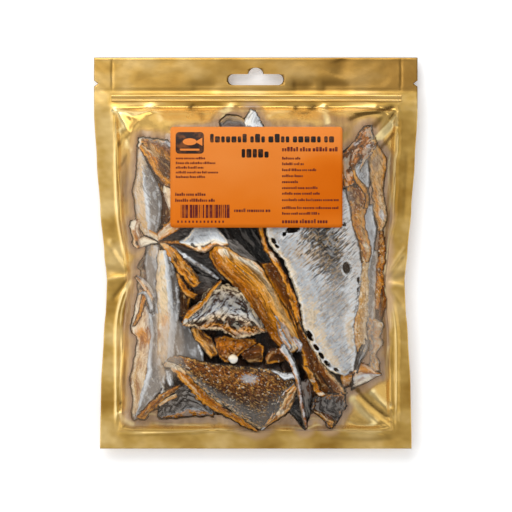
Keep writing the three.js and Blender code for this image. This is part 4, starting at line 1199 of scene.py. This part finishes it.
def foilHeight(x, y):
    seal = smooth((np.abs(x) - foil["sealX"]) / foil["sealFade"])
    ripple = roughness(x, y, foil["rippleSize"], 8.3, 2) * foil["ripple"]
    fine = roughness(x, y, foil["fineSize"], 2.2, 2) * foil["fineRipple"]
    rib = foil["ribHeight"] * np.exp(-((insetAt(x, y) - foil["ribInset"]) / foil["ribWidth"]) ** 2)
    return trayAt(x, y) + (ripple + fine) * (1 - foil["sealCalm"] * seal) + rib + creaseHeight(x, y)


def foilMaterial():
    material, tree, shader = newMaterial("gold foil")
    place = objectPlace(tree)
    contentsShadeAndReflection = attribute(tree, "contentsShadeAndReflection")
    across, upward = splitPlace(place)
    cloud = noiseOf(stretched(place, (46 * mm, 30 * mm, 60 * mm)), 3, 0.5)
    grain = noiseOf(stretched(place, (5 * mm,) * 3), 4, 0.6)
    # Painted light: the gold turns lighter towards the left, as if lit from there, with cloudy lighter and
    # darker patches.
    gold = ramp(cloud - across / foil["fadeWidth"],
                [(0.34, paint(170, 128, 52)), (0.5, paint(206, 166, 86)), (0.66, paint(236, 202, 132))])
    # Painted shade: the header is darker, more so towards the right.
    header = between(upward, 148 * mm, 152 * mm) * (across * 1.5 + 0.6)
    # The folds' painted highlights and painted shade go over the gold.
    gold = withPaintedFoldLight(mixed(header, gold, paint(152, 113, 52)))
    # Painted shade and reflection of the contents: around them the foil turns brown and less metallic.
    brown = ramp(cloud, [(0.3, paint(178, 140, 100)), (0.7, paint(212, 176, 134))])
    knurl = addNode(tree, "ShaderNodeTexWave", "Fac",
                    {"Scale": 1, "Vector": stretched(place, (foil["knurl"], foil["knurl"], 1), 45)})
    fine = bumped(grain, 0.12, 0.6 * mm)
    plugAll(shader, {"Base Color": mixed(contentsShadeAndReflection * 0.9, gold, brown), "Metallic": 0.88 - contentsShadeAndReflection * 0.6,
                     "Roughness": grain * 0.16 + 0.28,
                     "Normal": bumped(knurl * attribute(tree, "seal"), 0.2, 0.5 * mm, fine)})
    return material


hangHole = {"width": 51 * mm, "slot": 10.2 * mm, "bump": 7 * mm, "bumpSink": 1 * mm, "foot": 155.8 * mm}
tearNotch = {"y": 157.2 * mm, "depth": 3.7 * mm, "halfHeight": 2.8 * mm, "clear": 9 * mm}
cutterReach = {"foot": -20 * mm, "height": 80 * mm}


# A solid prism on the plane's outline, for cutting through the foil.
def makeCutter(name, build):
    mesh = bmesh.new()
    build(mesh)
    faces = bmesh.ops.extrude_face_region(mesh, geom=mesh.faces[:])
    upper = [item for item in faces["geom"] if isinstance(item, bmesh.types.BMVert)]
    bmesh.ops.translate(mesh, verts=upper, vec=(0, 0, cutterReach["height"]))
    bmesh.ops.translate(mesh, verts=mesh.verts, vec=(0, 0, cutterReach["foot"]))
    bmesh.ops.recalc_face_normals(mesh, faces=mesh.faces)
    return toObject(mesh, name)


# The hang hole is a long slot with a round bump in the middle of its upper side.
def slotOutline(mesh):
    bmesh.ops.create_grid(mesh, x_segments=1, y_segments=1, size=0.5)
    bmesh.ops.scale(mesh, verts=mesh.verts, vec=(hangHole["width"], hangHole["slot"], 1))
    bmesh.ops.bevel(mesh, geom=mesh.verts[:], affect="VERTICES", offset=hangHole["slot"] * 0.49,
                    segments=8, profile=0.5, material=-1)
    bmesh.ops.translate(mesh, verts=mesh.verts, vec=(0, hangHole["foot"] + hangHole["slot"] / 2, 0))


def bumpOutline(mesh):
    middle = hangHole["foot"] + hangHole["slot"] - hangHole["bumpSink"]
    bmesh.ops.create_circle(mesh, cap_ends=True, segments=32, radius=hangHole["bump"])
    bmesh.ops.translate(mesh, verts=mesh.verts, vec=(0, middle, 0))


def notchOutline(side):
    def build(mesh):
        edge = float(packHalf(tearNotch["y"]))
        bmesh.ops.create_circle(mesh, cap_ends=True, segments=4, radius=tearNotch["halfHeight"])
        bmesh.ops.scale(mesh, verts=mesh.verts, vec=(tearNotch["depth"] / tearNotch["halfHeight"], 1, 1))
        bmesh.ops.translate(mesh, verts=mesh.verts, vec=(side * edge, tearNotch["y"], 0))
    return build


# Half the pack's width without the notch tips.
def plainHalf(y):
    beside = [tearNotch["y"] - tearNotch["clear"], tearNotch["y"] + tearNotch["clear"]]
    inNotch = (y > beside[0]) & (y < beside[1])
    return np.where(inNotch, np.interp(y, beside, packHalf(np.array(beside))), packHalf(y))


def makeFoil():
    side = gridLines([0, 0.72, 0.92, 1], [0.026, 0.0072, 0.0105])
    upward = gridLines([packLow.y, -173 * mm, -146 * mm, 104 * mm, 136 * mm, packHigh.y],
                       [1.5 * mm, 1.05 * mm, 1.75 * mm, 1.1 * mm, 1.5 * mm])
    mesh, x, y = newSheet(side, upward, plainHalf)
    placeVertices(mesh, x, y, foilHeight(x, y))
    # Where the foil takes the painted shade and reflection of the contents, fading out away from them.
    setField(mesh, "contentsShadeAndReflection", 1 - smooth((contentsAway(x, y) - foil["nearFrom"]) / foil["nearFade"]))
    # The painted light and shade of the creases on the foil.
    setField(mesh, "fold", paintedFoldShade(x, y))
    setField(mesh, "seal", np.maximum(smooth((np.abs(x) - foil["knurlX"]) / foil["knurlFade"]),
                                      smooth((foil["knurlFoot"] - y) / foil["knurlFade"])))
    piece = toObject(mesh, "gold_foil_pouch", foilMaterial())
    solidify(piece, foil["thickness"])
    cutters = [makeCutter("slot", slotOutline), makeCutter("bump", bumpOutline),
               makeCutter("left notch", notchOutline(-1)), makeCutter("right notch", notchOutline(1))]
    for cutter in cutters:
        cut = piece.modifiers.new("cut", "BOOLEAN")
        cut.object = cutter
        cut.operation = "DIFFERENCE"
        cut.solver = "MANIFOLD"
    applyModifiers(piece)
    for cutter in cutters:
        bpy.data.objects.remove(cutter)
    settle(piece, "gold_foil", "foil_pouch")


makeFoil()
print("foil made")


# The zip keeps its CAD solid. Its two beads have the foil's gold seen through clear plastic.
def zipMaterial():
    material, tree, shader = newMaterial("zip plastic")
    streak = noiseOf(stretched(objectPlace(tree), (30 * mm, 1 * mm, 4 * mm)), 3, 0.5)
    colour = ramp(streak, [(0.35, paint(190, 148, 70)), (0.65, paint(218, 180, 100))])
    plugAll(shader, {"Base Color": colour, "Metallic": 0.7, "Roughness": 0.22, "Coat Weight": 0.6,
                     "Normal": bumped(streak, 0.15, 0.3 * mm)})
    return material


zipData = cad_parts["zip_track"].data
zipData.materials.clear()
zipData.materials.append(zipMaterial())


# The clear front. Mist and dusk are ovals in millimetres: middle, half width and half height, and for
# mist how strong it is. Mist is partly film haze and partly painted light; dusk is painted shade.
film = {"wave": 0.5 * mm, "waveSize": 17 * mm, "hazeAndPaintedLight": (62 * mm, 100 * mm), "seal": (121 * mm, 110 * mm),
        "border": 0.85, "fringe": 0.8, "fringeFrom": 0.45 * mm, "fringeWidth": 5.4 * mm,
        "goldFrom": 5 * mm, "goldWidth": 6 * mm, "outerFrom": 44 * mm, "outerWidth": 12 * mm,
        "freeWidth": 12 * mm, "sealFrom": 0.6 * mm, "sealWidth": 5 * mm, "foilGap": 0.15 * mm,
        "leastGap": 0.5 * mm, "duskSize": 12 * mm, "duskBreaks": 0.4, "duskFringe": 0.65,
        "duskGold": 0.8, "mistLevel": (1.1, 0.1), "tanLevel": (0.05, 0.3), "tanStreaks": 1.6,
        "fringeLevel": (0, 0.035), "goldLevel": (0, 0.15), "gloss": (0.08, 0.002),
        "hazeCloud": 60 * mm, "hazeSeal": (0.92, 0.08), "hazeStreaks": (0.2, 0.02),
        "mistAndPaintedLight": [(-84, -86, 20, 38, 0.34), (-98, -28, 10, 34, 0.22), (108, -72, 14, 44, 0.3)],
        "dusk": [(76, 119, 17, 9), (24, 118, 28, 5), (-32, 117, 28, 4.5), (-119, -66, 5, 32),
                 (-122, 70, 4, 24), (122, -84, 4, 26), (-121, -152, 7, 7), (34, -156, 9, 6),
                 (62, -164, 10, 4), (96, -122, 9, 6), (-74, -154, 26, 4)]}


# Film is clear in the middle and milky where it turns down at the sides. The milk is partly the film's
# own haze and partly painted light: it stands in for the veil of reflected light on the sloping sides
# and lifts them where the lamps' light falls off. Beside the contents it lies close to the foil and has
# the foil's gold in its gloss.
def filmMaterial():
    material, tree, shader = newMaterial("clear film")
    place = objectPlace(tree)
    across, upward = splitPlace(place)
    fringe, golden = attribute(tree, "fringe"), attribute(tree, "golden")
    cloud = noiseOf(stretched(place, (26 * mm, 60 * mm, 40 * mm)), 3, 0.5)
    streak = noiseOf(stretched(place, (9 * mm, 40 * mm, 40 * mm)), 4, 0.55)
    side = maths("ABSOLUTE", across)
    inside, atSeal = film["hazeSeal"]
    streaky, even = film["hazeStreaks"]
    # The milk at the sides and in the mist ovals: film haze and painted light together.
    hazeAndPaintedLight = between(side + (cloud - 0.5) * film["hazeCloud"], *film["hazeAndPaintedLight"])
    hazeAndPaintedLight = hazeAndPaintedLight * (between(side, *film["seal"]) * inside + atSeal) * (streak * streaky + even)
    for *oval, amount in film["mistAndPaintedLight"]:
        away = ovalAway(across, upward, *(size * mm for size in oval)) + (streak - 0.5)
        hazeAndPaintedLight = maths("MAXIMUM", hazeAndPaintedLight, between(away, *film["mistLevel"]) * amount)
    fringeShare = between(fringe, *film["fringeLevel"]) * (streak + (film["fringe"] - 0.5))
    hazeAndPaintedLight = maths("MAXIMUM", hazeAndPaintedLight, fringeShare)
    # Painted reflection and shadow: beside the contents the milk is tan, standing in for their blurred
    # reflection in the foil, and darker brown right next to them as painted shadow.
    tanPlace = fringe + between(fringe, *film["tanLevel"]) * ((streak - 0.5) * film["tanStreaks"])
    tan = ramp(tanPlace, [(0, paint(196, 172, 146)), (0.02, paint(156, 120, 84)),
                          (0.34, paint(170, 134, 94)), (1, paint(192, 152, 98))])
    gold = mixed(between(golden, *film["goldLevel"]), (1, 1, 1, 1), paint(222, 180, 94))
    wrinkle = noiseOf(stretched(place, (7 * mm, 22 * mm, 10 * mm), 12), 3, 0.5, 0.6)
    # The film's gold gloss and its tan milk both carry the painted light and shade of the folds.
    plugAll(shader, {"Base Color": withPaintedFoldLight(gold), "Metallic": 1 - golden * 0.25, "Roughness": 0.26,
                     "Normal": bumped(wrinkle, 0.3, 1.5 * mm)})
    milk = addNode(tree, "ShaderNodeBsdfDiffuse", 0, {"Color": withPaintedFoldLight(tan)})
    clear = addNode(tree, "ShaderNodeBsdfTransparent", 0)
    veil = addNode(tree, "ShaderNodeMixShader", 0, {0: hazeAndPaintedLight, 1: clear, 2: milk})
    hazeGloss, least = film["gloss"]
    glossShare = maths("MAXIMUM", hazeAndPaintedLight * hazeGloss + least, golden * film["border"])
    whole = addNode(tree, "ShaderNodeMixShader", 0,
                    {0: glossShare, 1: veil, 2: NodeValue(tree, shader.outputs[0])})
    plug(tree.nodes["Material Output"].inputs["Surface"], whole)
    return material


# Places over the foil where the pouch is dark beside the contents, from 0 to 1: painted shade, where the
# film's milk and gold are thinned so that the darker foil below shows.
def duskAt(x, y):
    dusk = np.zeros_like(x)
    breaks = roughness(x, y, film["duskSize"], 6.6) * film["duskBreaks"]
    for duskX, duskY, width, height in film["dusk"]:
        far = np.hypot((x - duskX * mm) / (width * mm), (y - duskY * mm) / (height * mm))
        dusk = np.maximum(dusk, smooth(1.6 - far + breaks))
    return dusk


def makeFilm():
    side = gridLines([0, 0.8, 1], [0.014, 0.0078])
    upward = gridLines([windowLow.y, -148 * mm, 104 * mm, windowHigh.y], [1.1 * mm, 1.75 * mm, 1.1 * mm])
    mesh, x, y = newSheet(side, upward, windowHalf)
    inset = insetAt(x, y)
    free = smooth(inset / film["freeWidth"])
    wave = roughness(x, y, film["waveSize"], 5.5, 2) * film["wave"]
    rise = filmAt(x, y) + wave * free + creaseHeight(x, y) * (1 - 0.1 * free)
    foilZ = foilHeight(x, y)
    sealed = smooth((inset - film["sealFrom"]) / film["sealWidth"])
    z = (foilZ + film["foilGap"]) * (1 - sealed) + np.maximum(rise, foilZ + film["leastGap"]) * sealed
    placeVertices(mesh, x, y, z)
    outer = smooth((film["outerFrom"] - inset) / film["outerWidth"])
    # How far the painted tan veil reaches out from the contents.
    fringe = smooth((contentsAway(x, y, 0) - film["fringeFrom"]) / film["fringeWidth"])
    golden = smooth((contentsAway(x, y) - film["goldFrom"]) / film["goldWidth"])
    dusk = duskAt(x, y)
    # The painted light and shade of the creases on the film.
    setField(mesh, "fold", paintedFoldShade(x, y))
    # Painted shade: the dusk thins the milk and the gold.
    setField(mesh, "fringe", fringe * outer * (1 - film["duskFringe"] * dusk))
    setField(mesh, "golden", golden * outer * (1 - film["duskGold"] * dusk))
    piece = toObject(mesh, "clear_front", filmMaterial())
    settle(piece, "clear_film", "window_with_collarbones")


makeFilm()
print("film made")


# The label, with a darker oval field on the right. Its print follows below.
label = {"x": 0.6 * mm, "y": 69.8 * mm, "width": 158.5 * mm, "height": 93 * mm, "corner": 2.7 * mm,
         "thickness": 0.35 * mm, "strip": 4 * mm, "printLift": 0.12 * mm, "weld": 1e-7,
         "darker": (66 * mm, 62 * mm, 42 * mm, 32 * mm), "lightReach": 260 * mm}


def addPlate(mesh, x, y, width, height, corner=0):
    made = bmesh.ops.create_grid(mesh, x_segments=1, y_segments=1, size=0.5)["verts"]
    bmesh.ops.scale(mesh, verts=made, vec=(width, height, 1))
    bmesh.ops.translate(mesh, verts=made, vec=(x, y, 0))
    if corner > 0:
        bmesh.ops.bevel(mesh, geom=made, affect="VERTICES", offset=corner, segments=4, profile=0.5,
                        material=-1)


# Cuts flat plates into strips, so that they can follow what they lie on.
def cutIntoStrips(mesh):
    for axis in (0, 1):
        places = [vertex.co[axis] for vertex in mesh.verts]
        way = [0, 0, 0]
        way[axis] = 1
        for spot in np.arange(min(places) + label["strip"], max(places), label["strip"]):
            bmesh.ops.bisect_plane(mesh, geom=mesh.verts[:] + mesh.edges[:] + mesh.faces[:],
                                   dist=label["weld"], plane_co=[part * spot for part in way],
                                   plane_no=way)


def drape(mesh, lift):
    cutIntoStrips(mesh)
    for vertex in mesh.verts:
        vertex.co.z = float(labelAt(vertex.co.x, vertex.co.y)) + lift


def labelMaterial():
    material, tree, shader = newMaterial("orange label")
    place = objectPlace(tree)
    across, upward = splitPlace(place)
    cloud = noiseOf(stretched(place, (70 * mm, 50 * mm, 50 * mm)), 2, 0.5)
    darker = between(ovalAway(across, upward, *label["darker"]), 1.2, 0.1)
    light = upward / label["lightReach"] + cloud * 0.5 - darker * 0.5
    colour = ramp(light, [(0, paint(202, 96, 0)), (0.38, paint(212, 110, 20)), (0.8, paint(222, 132, 58))])
    grain = noiseOf(stretched(place, (1 * mm,) * 3), 2, 0.5)
    plugAll(shader, {"Base Color": colour, "Roughness": 0.55, "Specular IOR Level": 0.08,
                     "Normal": bumped(grain, 0.05, 0.2 * mm)})
    return material


def makeLabel():
    mesh = bmesh.new()
    addPlate(mesh, label["x"], label["y"], label["width"], label["height"], label["corner"])
    drape(mesh, 0)
    piece = toObject(mesh, "label_sheet", labelMaterial())
    solidify(piece, label["thickness"])
    applyModifiers(piece)
    settle(piece, "label_paper", "label")


# Print is only bars and blocks. A line of it is words of small blocks: left end, middle height,
# right end and block height, in millimetres, under the name of its ink.
column = [(87.2, 41), (82, 44), (76.5, 56), (71, 43.5), (65.5, 39.5), (60, 57), (54.8, 58.5), (48.9, 77),
          (41.6, 76), (36.4, 59)]
notes = [(87.3, -47), (82.9, -36), (78.7, -47), (74.3, -34.5), (70.1, -46)]
printLines = {
    "black": [(-42, 105.6, 75.5, 7.6), (-13, 91.6, 16, 7.6)],
    "maroon": [(24.2, 95.5, 76, 4), *((24.2, y, right, 2.4) for y, right in column),
               (24.2, 29.2, 68, 3.8), *((-73.6, y, right, 2.2) for y, right in notes),
               (-74.2, 54, -45.5, 2.9), (-74.2, 48.5, -37.8, 2.9), (-20, 39.2, 13.8, 3.2)],
}
# A block's sizes as shares of its line's height, and how many blocks a word has.
block = {"widths": (0.42, 0.5, 0.6), "heights": (0.74, 0.74, 0.74, 1.04), "corner": 0.14, "gap": 0.16,
         "wordGap": 0.28, "least": 0.4, "firstWord": (5, 9), "word": (3, 9)}
stripes = {"left": -69, "right": -26.5, "top": 44.4, "foot": 32.2, "widths": (0.45, 0.9, 1.4, 2.6),
           "gaps": (0.5, 0.9, 1.3), "marks": 13, "markX": -71.5, "markY": 28.8, "markStep": 3.45,
           "markWidth": 1.5, "markHeight": 2.1, "markCorner": 0.4}
badge = {"field": (-60.8, 101.4, 26, 20, 3.2), "bar": (-60.8, 95.1, 18, 1.8, 0.8),
         "body": (-60.8, 102.4, 13, 6.4), "tail": (-51.4, 102.4, 4.4)}
ink = {"black": paint(24, 14, 10), "maroon": paint(92, 26, 22), "brown": paint(46, 30, 24),
       "orange": paint(222, 128, 54)}


# A plate with its measures in millimetres.
def addPrint(mesh, *measures):
    addPlate(mesh, *(measure * mm for measure in measures))


def inkMaterial(name, colour):
    material, tree, shader = newMaterial(name)
    wear = noiseOf(stretched(objectPlace(tree), (6 * mm,) * 3), 3, 0.5)
    pale = tuple(0.8 * part + 0.2 * other for part, other in zip(colour, ink["orange"]))
    plugAll(shader, {"Base Color": mixed(between(wear, 0.45, 0.75), colour, pale), "Roughness": 0.5,
                     "Specular IOR Level": 0.15})
    return material


def printPiece(mesh, name, colour, lift=1):
    drape(mesh, label["printLift"] * lift)
    piece = toObject(mesh, name, inkMaterial(name, ink[colour]))
    settle(piece, "label_print")


def addWords(mesh, chance, left, y, right, height):
    x = left
    letters = 0
    wordLength = chance.randint(*block["firstWord"])
    while x < right - block["least"] * height:
        width = height * chance.choice(block["widths"])
        tall = height * chance.choice(block["heights"])
        addPrint(mesh, x + width / 2, y + (tall - height) / 2, width, tall, block["corner"] * height)
        x += width + height * block["gap"]
        letters += 1
        if letters == wordLength:
            x += height * block["wordGap"]
            letters = 0
            wordLength = chance.randint(*block["word"])


def addStripes(mesh, chance):
    x = stripes["left"]
    while x < stripes["right"]:
        width = chance.choice(stripes["widths"])
        addPrint(mesh, x + width / 2, (stripes["top"] + stripes["foot"]) / 2, width,
                 stripes["top"] - stripes["foot"])
        x += width + chance.choice(stripes["gaps"])
    for index in range(stripes["marks"]):
        addPrint(mesh, stripes["markX"] + index * stripes["markStep"], stripes["markY"],
                 stripes["markWidth"], stripes["markHeight"], stripes["markCorner"])


def addFish(mesh):
    bodyX, bodyY, bodyWidth, bodyHeight = badge["body"]
    made = bmesh.ops.create_circle(mesh, cap_ends=True, segments=24, radius=0.5)["verts"]
    bmesh.ops.scale(mesh, verts=made, vec=(bodyWidth * mm, bodyHeight * mm, 1))
    bmesh.ops.translate(mesh, verts=made, vec=(bodyX * mm, bodyY * mm, 0))
    tailX, tailY, tailSize = badge["tail"]
    made = bmesh.ops.create_circle(mesh, cap_ends=True, segments=3, radius=tailSize * mm)["verts"]
    bmesh.ops.rotate(mesh, verts=made, cent=(0, 0, 0), matrix=Matrix.Rotation(math.pi / 2, 3, "Z"))
    bmesh.ops.translate(mesh, verts=made, vec=(tailX * mm, tailY * mm, 0))
    addPrint(mesh, *badge["bar"])


def makePrint():
    chance = random.Random(7)
    for colour, lines in printLines.items():
        mesh = bmesh.new()
        for line in lines:
            addWords(mesh, chance, *line)
        printPiece(mesh, f"{colour}_print", colour)
    mesh = bmesh.new()
    addStripes(mesh, chance)
    printPiece(mesh, "stripe_print", "maroon")
    mesh = bmesh.new()
    addPrint(mesh, *badge["field"])
    printPiece(mesh, "badge_field", "brown")
    mesh = bmesh.new()
    addFish(mesh)
    printPiece(mesh, "badge_fish", "orange", 2)


makeLabel()
makePrint()
print("label made")


# Floor, light and camera.
scene = bpy.context.scene
floorPaint, _, shader = newMaterial("pale floor")
plugAll(shader, {"Base Color": (0.93, 0.93, 0.93, 1), "Roughness": 0.9, "Emission Color": (1, 1, 1, 1),
                 "Emission Strength": 0.2})
mesh = bmesh.new()
bmesh.ops.create_grid(mesh, x_segments=1, y_segments=1, size=6)
floor = toObject(mesh, "floor", floorPaint)

world = bpy.data.worlds.new("studio")
world.use_nodes = True
plugAll(world.node_tree.nodes["Background"], {"Color": (0.96, 0.98, 1, 1), "Strength": 0.2})
scene.world = world

softboxes = {
    "key": {"at": (-0.6, 1.6, 1.4), "size": (2.4, 1.7), "power": 46},
    "top": {"at": (-0.76, -0.1, 1.9), "size": (2.4, 2.4), "power": 8.2},
    "left": {"at": (-1.4, -0.3, 1.1), "size": (1.0, 2.2), "power": 7},
    "right": {"at": (1.4, -0.2, 1.0), "size": (1.1, 2.2), "power": 9},
    "foot": {"at": (0.2, -1.6, 1.0), "size": (2.0, 0.8), "power": 6},
}
for lightName, box in softboxes.items():
    lamp = bpy.data.lights.new(lightName, "AREA")
    lamp.shape = "RECTANGLE"
    lamp.size, lamp.size_y = box["size"]
    lamp.energy = box["power"]
    light = bpy.data.objects.new(lightName, lamp)
    scene.collection.objects.link(light)
    light.location = box["at"]
    light.rotation_euler = (-Vector(box["at"])).to_track_quat("-Z", "Y").to_euler()

view = {"distance": 6.0, "frameWidth": 476 * mm, "x": 0.2 * mm, "y": -2.8 * mm, "sensor": 36}
cameraData = bpy.data.cameras.new("camera")
cameraData.sensor_width = view["sensor"]
cameraData.lens = view["sensor"] * view["distance"] / view["frameWidth"]
camera = bpy.data.objects.new("camera", cameraData)
camera.location = (view["x"], view["y"], view["distance"])
scene.collection.objects.link(camera)
scene.camera = camera
scene.view_settings.view_transform = "Standard"
print("light and camera set")
